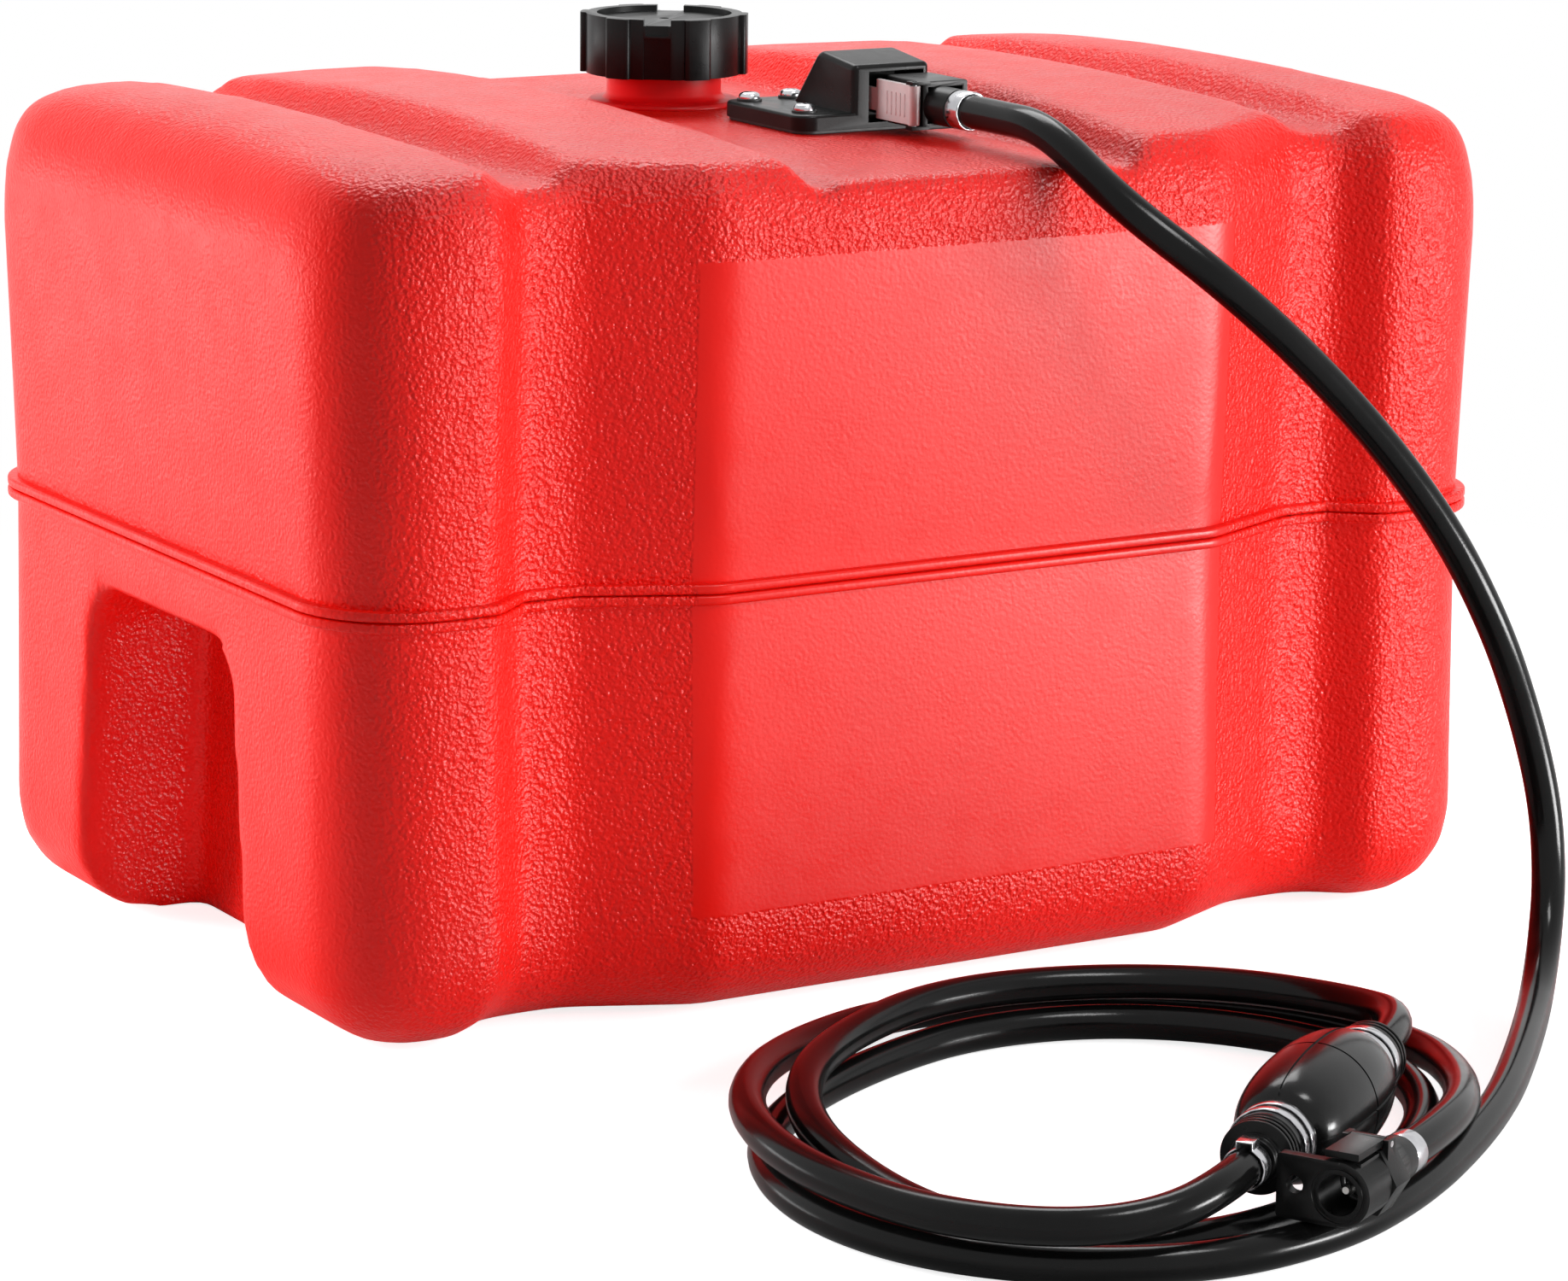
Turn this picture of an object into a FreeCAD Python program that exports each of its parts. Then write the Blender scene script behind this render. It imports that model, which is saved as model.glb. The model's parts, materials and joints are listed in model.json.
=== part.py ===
# Portable outboard fuel tank, 45 litre class, with its filler cap, outlet fitting,
# fuel line, primer bulb and engine connector.
# Millimetres, +Z up, +X along the tank's length, -Y the front.  The origin is the
# middle of the tank's underside.  Every sub-part is one STEP file in parts/.
import FreeCAD, Part
import math
import os

os.makedirs("parts", exist_ok=True)
Vector = FreeCAD.Vector
X_AXIS = Vector(1, 0, 0)
Y_AXIS = Vector(0, 1, 0)
Z_AXIS = Vector(0, 0, 1)

# ---------------------------------------------------------------- driving dimensions
PAST = 1.0                   # how far a cutting shape runs past the face it opens
FAR = 50.0                   # the same where a cut takes everything beyond
TINY = 1e-6                  # two places nearer than this are the same place

# Tank shell
TANK_LENGTH = 510.0          # over the corner posts, at the seam
TANK_CREST = 330.0           # height of the ridges
SEAM_HEIGHT = 165.0
WALL = 4.0
POST_FRONT = 164.0           # half depth at the corner posts
GROOVE_FRONT = 149.0         # half depth at the bottom of the side grooves
MIDDLE_FRONT = 171.0         # half depth of the broad middle panel
POST_WIDTH = 56.0
GROOVE_STEP = 18.0           # run of the steep side of a groove
GROOVE_FLOOR = 23.0
RAMP_RUN = 48.0              # run of the gentle side of a groove
CORNER_RADIUS = 38.0
GROOVE_RADIUS = 10.0
RAMP_RADIUS = 20.0
BOTTOM_ROUNDING = 36.0
TOP_ROUNDING = 32.0
TOP_FLARE = 5.0              # how much wider each side is at the top than at the seam
BOTTOM_FLARE = 3.0
CROWN_DROP = 9.0             # fall of the ridges from the middle to the front edge
SEAM_LIP = 4.0               # how far the welded flange stands out
SEAM_LIP_THICKNESS = 4.0     # of each half's flange

# Ridges and valleys of the top
OUTER_VALLEY_CENTRE = 175.0
OUTER_VALLEY_FLOOR_WIDTH = 20.0
OUTER_VALLEY_DEPTH = 15.0
OUTER_VALLEY_SLOPE = 15.0    # run of each flank
MIDDLE_VALLEY_HALF = 69.0    # half width of the floor
MIDDLE_VALLEY_DEPTH = 21.0
MIDDLE_VALLEY_SLOPE = 15.0
PLATEAU_HALF = 57.0
PLATEAU_HEIGHT = 313.5
CREST_RADIUS = 12.0
VALLEY_RADIUS = 9.0
CREST_SKIN = 0.2             # height above the crests at which a flank's rounding ends

# Grip recess in each end
GRIP_FOOT_HALF = 77.0
GRIP_TOP_HALF = 62.0
GRIP_TOP = 139.0
GRIP_DEPTH = 50.0
GRIP_RADIUS = 20.0

# Filler neck and cap
NECK_Y = 62.0
NECK_RADIUS = 23.2
NECK_BORE = 19.5
NECK_TOP = 343.0
NECK_FLANGE_RADIUS = 31.0
NECK_FLANGE_THICKNESS = 2.0
NECK_SPIGOT_RADIUS = 21.5
SPIGOT_BELOW = 2.5
NECK_FLANGE_CHAMFER = 1.0
NECK_CONE_FOOT = 6.0         # in from the flange's edge
NECK_CONE_RISE = 0.4
NECK_CONE_HEIGHT = 1.6
NECK_CONE_HEAD = 0.6
NECK_CONE_RUN_OUT = 1.2
THREAD_PITCH = 6.0
THREAD_TURNS = 1.1
THREAD_HEIGHT = 2.0
THREAD_ROOT = 1.9
THREAD_CREST = 1.1
THREAD_CLEARANCE = 0.4
THREAD_BURY = 0.3            # how far the ridge runs into its wall
NECK_THREAD_START = 331.5
CAP_RADIUS = 31.8
CAP_LOBE_RADIUS = 34.0
CAP_BOTTOM = 326.0
CAP_TOP = 350.0
CAP_PLATE = 3.0
CAP_LOBES = 6
CAP_LOBE_ANGLE = 20.0
CAP_NOTCH_WIDTH = 11.0
CAP_SLOT_DEPTH = 1.6
CAP_SLOT_TOP = 7.5           # of the lower slot, under the cap's top
CAP_SLOT_BAR = 1.2           # between the lower and upper slots
CAP_SLOT_STEP = 1.0          # how much narrower the upper slot is, each side
CAP_RIM = 4.5
CAP_LOBE_BURY = 2.0
CAP_TURN = -35.0             # where the slots stop when the cap is tight
SEAL_THICKNESS = 1.5
SEAL_GAP = 0.1
SEAL_INSET = 0.3
VENT_RADIUS = 2.0
VENT_HEAD_RADIUS = 4.0
VENT_HEAD_THICKNESS = 1.2
VENT_SPRING_RADIUS = 2.8
VENT_SPRING_TURNS = 4
VALVE_SEAT_GAP = 0.05
VENT_TRAVEL = 1.5
VENT_CAGE_RADIUS = 7.0
VENT_CAGE_DEPTH = 9.0
VENT_CAGE_WALL = 1.4
VENT_STEM_CLEARANCE = 0.3
VENT_STEM_BELOW_PLATE = 0.5
SPRING_WIRE = 0.3            # radius of every spring's wire
SPRING_END_GAP = 0.02

# Outlet fitting on the top
FITTING_LEFT = -6.0
FITTING_RIGHT = 56.0
FITTING_FRONT = -55.0
FITTING_BACK = 7.0
FITTING_PLATE = 6.0
FITTING_CORNER = 8.0
FITTING_SEAL = 1.5
FITTING_SEAL_INSET = 1.0
FITTING_PLATE_ROUNDING = 1.2
HOOD_LEFT = 18.0
HOOD_RIGHT = 53.0
HOOD_FRONT_TOP = 339.5
HOOD_BACK_TOP = 343.0
HOOD_BACK_TOP_Y = -28.0
HOOD_BACK_FOOT_Y = -10.0
HOOD_ROUNDING = 2.5
HOOD_BACK_EDGE = 1.0         # height of its back edge above the plate
HOOD_CROWN_RADIUS = 6.0
HOOD_LIP_RADIUS = 2.0
POCKET_LEFT = 25.0
POCKET_RIGHT = 50.0
POCKET_BOTTOM = 317.0
POCKET_TOP = 336.8
POCKET_DEPTH = 21.0
OUTLET_X = 38.0
OUTLET_Z = 326.5
PICKUP_Y = -24.0
PICKUP_BOSS_RADIUS = 13.5
PICKUP_BOSS_BELOW = 2.5
PICKUP_TUBE_RADIUS = 5.0
PICKUP_TUBE_BORE = 4.0
PICKUP_SOCKET = 8.0
STRAINER_RADIUS = 9.0
STRAINER_HEIGHT = 18.0
STRAINER_FLOOR_GAP = 4.0
STRAINER_WALL = 1.2
STRAINER_SLOTS = 12
STRAINER_SLOT_WIDTH = 1.4
STRAINER_SLOT_FOOT = 3.0
STRAINER_SLOT_HEAD = 5.0
STRAINER_GRIP = 4.0          # how far the tube reaches into it
FUEL_CHANNEL_RADIUS = 3.0
SCREW_HEAD_RADIUS = 4.3
SCREW_HEAD_HEIGHT = 2.6
SCREW_SHANK_RADIUS = 2.0
SCREW_LENGTH = 14.0
SCREW_TIP = 2.0
SCREW_TIP_RADIUS = 0.4
SCREW_HEAD_ROUNDING = 1.3
SCREW_RECESS_HALF = 2.4
SCREW_RECESS_WIDTH = 1.0
SCREW_RECESS_FLOOR = 1.0
HOLE_CLEARANCE = 0.25
THREAD_FIT = 0.05            # screws in the tank's wall, and the spigot in the housing
WASHER_RADIUS = 5.0
WASHER_THICKNESS = 0.8
SCREW_PLACES = [(3.0, -1.0), (3.0, -43.0), (23.0, 0.5), (49.5, 0.5)]

# Outlet spigot with its check valve
SPIGOT_RADIUS = 5.0
SPIGOT_BORE = 2.6
SPIGOT_LENGTH = 13.0
SPIGOT_FLANGE_RADIUS = 7.0
SPIGOT_FLANGE = 2.0
SPIGOT_SHANK = 6.0
SPIGOT_SHANK_RADIUS = 4.5
SEAL_RING_SECTION = 0.9
SEAL_RING_PLACE = 8.0
SEAL_GROOVE_RADIUS = 3.9
SEAL_GROOVE_CLEARANCE = 0.1
SPIGOT_CHAMFER = 1.0
VALVE_SPRING_INSET = 0.45
VALVE_SPRING_TURNS = 6
VALVE_CLEARANCE = 0.25
VALVE_LENGTH = 5.0
VALVE_TRAVEL = 3.0

# Hose connector on the fitting
PLUG_RADIUS = 7.9
PLUG_GAP = 0.6               # between the plug's nose and the bottom of the pocket
PLUG_BORE = 5.7
PLUG_BORE_DEPTH = 14.0
CONNECTOR_SHOULDER = -60.0
CONNECTOR_END = -86.0
CONNECTOR_LEFT = 30.3
CONNECTOR_RIGHT = 50.5
CONNECTOR_BOTTOM = 317.3
CONNECTOR_TOP = 336.0
CONNECTOR_WALL = 2.2
CONNECTOR_OPEN_DEPTH = 18.0
COLLAR_RADIUS = 7.6
COLLAR_END = -100.0
LATCH_OUTER = 26.5
LATCH_THICKNESS = 2.2
LATCH_ARM_THICKNESS = 1.1
LATCH_LENGTH = 26.0          # of the pad that is pressed
LATCH_BOTTOM = 319.0
LATCH_TOP = 334.4
LATCH_ARM_HALF = 4.5
LATCH_TIP_Y = -47.0
LATCH_HOOK = 1.5
LATCH_HOOK_LENGTH = 4.0
LATCH_PIVOT_Y = -84.0
LATCH_PIN_RADIUS = 1.1
LATCH_PIN_FIT = 0.05
LATCH_KNUCKLE_RADIUS = 2.3
LATCH_SIDE_GAP = 0.3
LATCH_SPRING_Y = -72.0
LATCH_SPRING_RADIUS = 2.0
LATCH_SPRING_SEAT = 2.0
LATCH_SPRING_TURNS = 3
SPRING_SIDE_GAP = 0.3
LATCH_PIVOT_INSET = 1.0      # from the pad's outer face
LATCH_PIN_SHORT = 0.2        # how far each end stands back in its ear
LATCH_EAR_ROOT = 3.0
CATCH_CLEARANCE = 1.0
CONNECTOR_ROUNDING = 1.2

# Fuel line
HOSE_RADIUS = 6.5
HOSE_BORE = 4.0
BARB_LENGTH = 18.0
BARB_RADIUS = 3.95
FUEL_BORE = 2.6
BARB_TIP = 2.0
BARB_TIP_STEP = 0.8
BARB_ROOM = 0.5              # free length of the hose's bore past the barb
ARC_SHARE = 0.45             # of the shorter run, taken by each bend
FERRULE_LENGTH = 8.0
FERRULE_WALL = 1.0
FERRULE_GAP = 0.1
FERRULE_PLACE = 1.0          # from the end of the hose

# Primer bulb
BULB_RADIUS = 22.0
BULB_NECK_RADIUS = 13.0
BULB_NECK_LENGTH = 17.0
BULB_BODY_LENGTH = 78.0
BULB_WALL = 3.5
BULB_BODY_SHORTER = 6.0      # how much shorter the bulb's inner egg is
BULB_NECK_OPEN = 3.0         # how much further the bore of each neck runs
BULB_FULLNESS = 0.75         # power of the egg's outline: smaller is fuller
BULB_STEPS = 18
BULB_STEM_RADIUS = 9.5
BULB_FIT = 0.05
BULB_COLLAR_RADIUS = 11.5
BULB_RIB_RADIUS = 12.7
BULB_RIBS = 3
BULB_RIB_SHARE = 0.55        # of the ribs' pitch
BULB_RIB_DEPTH = 1.0
BULB_RIB_TAPER = 0.8         # more for each rib further out
BULB_NOSE_LENGTH = 2.0
BULB_NOSE_STEP = 1.5
BULB_NOSE_CHAMFER = 0.5
BAND_WALL = 0.9
BAND_WIDTH = 4.0
BAND_SPACING = 6.5
BAND_PLACE = 3.0             # first band, from the end of the egg
DISC_THICKNESS = 1.4
DISC_TRAVEL = 2.0
DISC_INSET = 2.5             # of the disc's edge from the stem's side
DISC_CLEARANCE = 0.5
DISC_ROOM = 0.6
CLAMP_PLACE = 3.0            # from the end of the hose
CLAMP_WIDTH = 7.0
CLAMP_WALL = 0.8
CLAMP_EAR_HEIGHT = 2.0
CLAMP_EAR_HALF = 3.0

# Engine connector
ENGINE_BARREL_RADIUS = 11.0
ENGINE_LENGTH = 46.0
ENGINE_SOCKET_RADIUS = 7.0
ENGINE_SOCKET_DEPTH = 18.0
ENGINE_TAB_LENGTH = 22.0
ENGINE_TAB_THICKNESS = 4.0
ENGINE_TAB_HOLE = 3.0
ENGINE_TAB_HOLE_PLACE = 15.5
ENGINE_TAB_HOLE_RISE = 1.0
ENGINE_TAB_ROUNDING = 1.5
ENGINE_FACE_CHAMFER = 0.6
ENGINE_NECK_RADIUS = 8.0
ENGINE_NECK_LENGTH = 6.0
ENGINE_SHOULDER = 18.0       # from the back, where the barrel begins to narrow
ENGINE_SHOULDER_STEP = 1.5
ENGINE_SHOULDER_RUN = 1.0
ENGINE_FACET_PLACE = 28.0    # from the back
ENGINE_FACET_LENGTH = 11.0
ENGINE_FACETS = 6
ENGINE_BED_TOP = 0.6         # under the barrel's top
ENGINE_BED_BOTTOM = 4.0
ENGINE_BED_END = 20.0        # from the back
ENGINE_GROOVE_INNER = 8.6    # ring groove in the face
ENGINE_GROOVE_OUTER = 9.6
ENGINE_GROOVE_DEPTH = 0.6
ENGINE_PIN_RADIUS = 2.0
ENGINE_PIN_NOSE_RADIUS = 1.2
ENGINE_PIN_NOSE = 0.8
ENGINE_PIN_REACH = 12.0      # how far it stands out into the socket
ENGINE_PIN_TAIL = 4.0
ENGINE_VALVE_ROOM = 12.0
ENGINE_VALVE_SPRING_INSET = 0.4
ENGINE_VALVE_SPRING_TURNS = 5
ENGINE_CHANNEL_RADIUS = 1.6
ENGINE_SEAL_SECTION = 0.9
ENGINE_SEAL_PLACE = 1.0      # from the socket's bottom
ENGINE_LEVER_WIDTH = 12.0
ENGINE_LEVER_THICKNESS = 2.4
ENGINE_LEVER_GAP = 0.8       # over the barrel
ENGINE_LEVER_FRONT = 2.0     # from the face
ENGINE_LEVER_TAIL = 2.0      # behind the pivot
ENGINE_LEVER_SIDE_GAP = 0.3
ENGINE_LEVER_SPRING_PLACE = 36.0   # from the back
ENGINE_LEVER_SPRING_SEAT = 1.5
ENGINE_PIVOT_PLACE = 23.0    # from the back
ENGINE_PIVOT_RISE = 1.6      # over the barrel
ENGINE_KNUCKLE_RADIUS = 2.0
ENGINE_EAR_WIDTH = 2.0
ENGINE_EAR_HALF = 3.0
ENGINE_EAR_TOP = 3.4         # over the barrel
ENGINE_EAR_ROOT = 5.0        # under the barrel's top

# The fuel line's route, as a list of corners.
ROUTE_TANK_TO_BULB = [
    (38, -100, 326.5), (38, -124, 326.5), (37, -162, 326.5), (42, -200, 304), (75, -235, 271),
    (119, -248, 228), (154, -258, 184), (178, -263, 142), (195, -263, 104), (204, -266, 70),
    (203, -272, 41), (192, -284, 20), (174, -303, 9), (151, -328, 6.5), (117, -363.5, 6.5),
    (79, -401, 6.5), (37, -435, 6.5), (-8, -466, 6.5), (-58, -489, 6.5), (-112, -493, 6.5),
    (-160, -470, 6.5), (-193, -427, 6.5), (-199, -373, 6.5), (-180, -321, 6.5),
    (-142, -283, 6.5), (-92, -256, 6.5), (-38, -240, 6.5), (16, -253, 6.5),
    (55, -292, 6.5), (71, -345, 6.5), (51, -396, 6.5), (7, -437, 6.5), (-45, -465, 6.5),
    (-102, -476, 6.5), (-148, -454, 6.5), (-170, -402, 7.5), (-174, -346, 17),
    (-149, -297, 21.5), (-106, -261, 21.5), (-54, -238, 21.5), (2, -243, 20.5),
    (49, -272, 20.5), (73, -318, 22), (64.9, -365.4, 28.5), (29, -391, 28.5)]
ROUTE_BULB_TO_ENGINE = [
    (-79, -468, 28.5), (-98.95, -482.22, 28.5), (-125, -489, 24.5), (-151, -483, 22),
    (-175, -463, 21), (-193, -430, 20.5), (-201, -378, 21.5), (-187, -322, 21),
    (-152, -272, 17), (-107, -231, 10), (-57, -207, 6.5), (-2, -213, 6.5),
    (46, -241, 6.5), (82, -284, 6.5), (93, -338, 7), (67, -391, 14.5), (32, -438, 22.5),
    (-2.1, -464.75, 24.6), (-28.5, -479, 24.6)]
ENGINE_FACE = Vector(-69.0, -500.86, 24.6)

# ---------------------------------------------------------------- shapes
def rounded_wire(corners):
    """Closed wire in the XY plane through (x, y, radius) corners."""
    count = len(corners)
    starts = []
    ends = []
    middles = []
    for i in range(count):
        here = Vector(corners[i][0], corners[i][1], 0)
        before = Vector(corners[i - 1][0], corners[i - 1][1], 0)
        after = Vector(corners[(i + 1) % count][0], corners[(i + 1) % count][1], 0)
        back = (before - here).normalize()
        ahead = (after - here).normalize()
        radius = corners[i][2]
        half = back.getAngle(ahead) / 2
        reach = radius / math.tan(half)
        starts.append(here + back * reach)
        ends.append(here + ahead * reach)
        inward = (back + ahead).normalize()
        middles.append(here + inward * (radius / math.sin(half) - radius))
    edges = []
    for i in range(count):
        if corners[i][2] > 0:
            edges.append(Part.Arc(starts[i], middles[i], ends[i]).toShape())
        edges.append(Part.LineSegment(ends[i], starts[(i + 1) % count]).toShape())
    return Part.Wire(edges)


def moved_outline(corners, inset):
    """Corners of an anticlockwise outline whose sides all move inwards by inset."""
    count = len(corners)
    result = []
    for i in range(count):
        ax, ay, _ = corners[i - 1]
        bx, by, radius = corners[i]
        cx, cy, _ = corners[(i + 1) % count]
        first = Vector(bx - ax, by - ay, 0).normalize()
        second = Vector(cx - bx, cy - by, 0).normalize()
        turn = first.cross(second).z
        bisector = Vector(-first.y - second.y, first.x + second.x, 0)
        shift = bisector * (inset / (1 + first.dot(second)))
        if radius == 0:
            new_radius = 0
        elif turn > 0:
            new_radius = max(radius - inset, 1.0)
        else:
            new_radius = max(radius + inset, 1.0)
        result.append((bx + shift.x, by + shift.y, new_radius))
    return result


def prism(corners, height):
    """Upright prism on the XY plane."""
    return Part.Face(rounded_wire(corners)).extrude(Vector(0, 0, height))


def along_y(shape):
    """Turns an upright shape drawn in (x, z) so that its height runs along +Y."""
    turned = shape.copy()
    turned.rotate(Vector(0, 0, 0), X_AXIS, 90)
    return turned.mirror(Vector(0, 0, 0), Y_AXIS)


def along_x(shape):
    """Turns an upright shape drawn in (y, z) so that its height runs along +X."""
    matrix = FreeCAD.Matrix(0, 0, 1, 0, 1, 0, 0, 0, 0, 1, 0, 0, 0, 0, 0, 1)
    turned_shape = shape.copy()
    turned_shape.transformShape(matrix)
    return turned_shape


def rod(radius, start, end):
    """Round bar from one point to another."""
    direction = end - start
    return Part.makeCylinder(radius, direction.Length, start, direction)


def pipe(radius, bore, start, end):
    """Round tube from one point to another."""
    return rod(radius, start, end).cut(rod(bore, start, end))


def block(x0, x1, y0, y1, z0, z1):
    """Box between two corners."""
    return Part.makeBox(x1 - x0, y1 - y0, z1 - z0, Vector(x0, y0, z0))


def turned(profile, axis=X_AXIS):
    """Solid of revolution about X, from (x, radius) corners."""
    points = [Vector(x, r, 0) for x, r in profile]
    points.append(points[0])
    return Part.Face(Part.makePolygon(points)).revolve(Vector(0, 0, 0), axis, 360)


def placed(shape, origin, direction, up=Z_AXIS):
    """Moves a shape so that its own +X points along direction and its origin at origin."""
    x = Vector(direction).normalize()
    y = up.cross(x).normalize()
    z = x.cross(y)
    matrix = FreeCAD.Matrix(x.x, y.x, z.x, origin.x, x.y, y.y, z.y, origin.y,
                            x.z, y.z, z.z, origin.z, 0, 0, 0, 1)
    result = shape.copy()
    result.Placement = FreeCAD.Placement(matrix).multiply(shape.Placement)
    return result


def coil(radius, room, turns):
    """Helical spring on the Z axis that fills the room from z = 0 but for its end gaps."""
    rise = room - 2 * SPRING_WIRE - 2 * SPRING_END_GAP
    helix = Part.makeLongHelix(rise / turns, rise, radius)
    circle = Part.Wire(Part.makeCircle(SPRING_WIRE, Vector(radius, 0, 0), Y_AXIS))
    spring = Part.Wire(helix.Edges).makePipeShell([circle], True, True)
    spring.translate(Vector(0, 0, SPRING_WIRE + SPRING_END_GAP))
    return spring


def thread(radius, inwards):
    """One-start thread ridge on the Z axis, standing out from radius or inwards."""
    height = THREAD_PITCH * THREAD_TURNS
    sign = -1 if inwards else 1
    tip = radius + sign * THREAD_HEIGHT
    root = radius - sign * THREAD_BURY
    helix = Part.makeHelix(THREAD_PITCH, height, radius)
    points = [Vector(root, 0, -THREAD_ROOT / 2), Vector(tip, 0, -THREAD_CREST / 2),
              Vector(tip, 0, THREAD_CREST / 2), Vector(root, 0, THREAD_ROOT / 2)]
    points.append(points[0])
    section = Part.makePolygon(points)
    return Part.Wire(helix.Edges).makePipeShell([section], True, True)


def save(name, shape):
    """Writes one node and prints what it is."""
    solids = shape.Solids
    clean = solids[0] if len(solids) == 1 else Part.makeCompound(solids)
    clean.exportStep("parts/" + name + ".step")
    print(f"{name:28s} solids {len(solids):2d}  valid {clean.isValid()}  "
          f"volume {clean.Volume:12.1f}")


# ---------------------------------------------------------------- tank shell
def plan_outline():
    """Plan of the tank at the seam: corner posts, grooves and a broad middle."""
    half = TANK_LENGTH / 2
    post_inner = half - POST_WIDTH
    groove_outer = post_inner - GROOVE_STEP
    groove_inner = groove_outer - GROOVE_FLOOR
    middle_half = groove_inner - RAMP_RUN
    quarter = [(half, POST_FRONT, CORNER_RADIUS), (post_inner, POST_FRONT, GROOVE_RADIUS),
               (groove_outer, GROOVE_FRONT, GROOVE_RADIUS),
               (groove_inner, GROOVE_FRONT, RAMP_RADIUS),
               (middle_half, MIDDLE_FRONT, RAMP_RADIUS)]
    back = quarter + [(-x, y, r) for x, y, r in reversed(quarter)]
    front = [(-x, -y, r) for x, y, r in back]
    return back + front


def flare(z):
    """How much wider each side is at this height than at the seam."""
    if z > SEAM_HEIGHT:
        return TOP_FLARE * (z - SEAM_HEIGHT) / (TANK_CREST - SEAM_HEIGHT)
    return BOTTOM_FLARE * (SEAM_HEIGHT - z) / SEAM_HEIGHT


def rounded_box(wall):
    """The tank's outer form, or the form of the fuel space a wall inside it."""
    steps = [math.radians(angle) for angle in (90.0, 67.5, 45.0, 22.5, 0.0)]
    sections = []
    for angle in steps:
        radius = BOTTOM_ROUNDING - wall
        z = BOTTOM_ROUNDING - radius * math.sin(angle)
        sections.append((z, wall + radius * (1 - math.cos(angle)) - flare(z)))
    sections.append((SEAM_HEIGHT, wall))
    for angle in reversed(steps):
        radius = TOP_ROUNDING - wall
        z = TANK_CREST - TOP_ROUNDING + radius * math.sin(angle)
        sections.append((z, wall + radius * (1 - math.cos(angle)) - flare(z)))
    wires = []
    for z, inset in sections:
        wire = rounded_wire(moved_outline(plan_outline(), inset))
        wire.translate(Vector(0, 0, z))
        wires.append(wire)
    return Part.makeLoft(wires, True, True)


def top_cutters(wall):
    """What lies above the ridges and in the valleys, moved down by a wall's thickness."""
    above = TANK_CREST + FAR
    crest = TANK_CREST + CREST_SKIN
    reach = MIDDLE_FRONT + TOP_FLARE + FAR
    floor = TANK_CREST - MIDDLE_VALLEY_DEPTH
    edge = MIDDLE_VALLEY_HALF + MIDDLE_VALLEY_SLOPE
    right = [(PLATEAU_HALF, PLATEAU_HEIGHT, VALLEY_RADIUS / 2),
             (MIDDLE_VALLEY_HALF, floor, VALLEY_RADIUS / 2), (edge, crest, CREST_RADIUS),
             (edge + 2 * CREST_RADIUS, crest, 0), (edge + 2 * CREST_RADIUS, above, 0)]
    valleys = [[(-x, y, r) for x, y, r in reversed(right)] + right]
    half_floor = OUTER_VALLEY_FLOOR_WIDTH / 2
    flank = half_floor + OUTER_VALLEY_SLOPE
    run_out = flank + 1.5 * CREST_RADIUS
    for side in (-1, 1):
        centre = side * OUTER_VALLEY_CENTRE
        low = TANK_CREST - OUTER_VALLEY_DEPTH
        valleys.append([(centre - run_out, above, 0), (centre - run_out, crest, 0),
                        (centre - flank, crest, CREST_RADIUS),
                        (centre - half_floor, low, VALLEY_RADIUS),
                        (centre + half_floor, low, VALLEY_RADIUS),
                        (centre + flank, crest, CREST_RADIUS),
                        (centre + run_out, crest, 0), (centre + run_out, above, 0)])
    cutters = []
    for corners in valleys:
        cutter = along_y(prism(moved_outline(corners, -wall), 2 * reach))
        cutter.translate(Vector(0, -reach, 0))
        cutters.append(cutter)
    return cutters


def crown(wall):
    """Long cylinder whose upper side gives the ridges their fall to front and back."""
    radius = MIDDLE_FRONT ** 2 / (2 * CROWN_DROP)
    centre = TANK_CREST - radius
    reach = TANK_LENGTH
    return rod(radius - wall, Vector(-reach, 0, centre), Vector(reach, 0, centre))


def grip_recess(side, wall):
    """Hand recess in one end, open underneath; wall makes the one seen from inside."""
    low = -FAR
    slope = (GRIP_FOOT_HALF - GRIP_TOP_HALF) / GRIP_TOP
    foot = GRIP_FOOT_HALF + slope * -low
    corners = [(-foot, low, 0), (foot, low, 0), (GRIP_TOP_HALF, GRIP_TOP, GRIP_RADIUS),
               (-GRIP_TOP_HALF, GRIP_TOP, GRIP_RADIUS)]
    shape = along_x(prism(moved_outline(corners, -wall), GRIP_DEPTH + wall + FAR))
    end = TANK_LENGTH / 2
    if side < 0:
        shape.translate(Vector(-end - FAR, 0, 0))
    else:
        shape.translate(Vector(end - GRIP_DEPTH - wall, 0, 0))
    return shape


def tank_form(wall):
    """Solid of the tank's outside (wall 0) or of its fuel space (wall > 0)."""
    cutters = top_cutters(wall) + [grip_recess(side, wall) for side in (-1, 1)]
    return rounded_box(wall).common(crown(wall)).cut(cutters)


def flange(z0, z1):
    """Band of the welded flange between two heights, as a solid plate."""
    wire = rounded_wire(moved_outline(plan_outline(), -SEAM_LIP))
    wire.translate(Vector(0, 0, z0))
    return Part.Face(wire).extrude(Vector(0, 0, z1 - z0))


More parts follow.
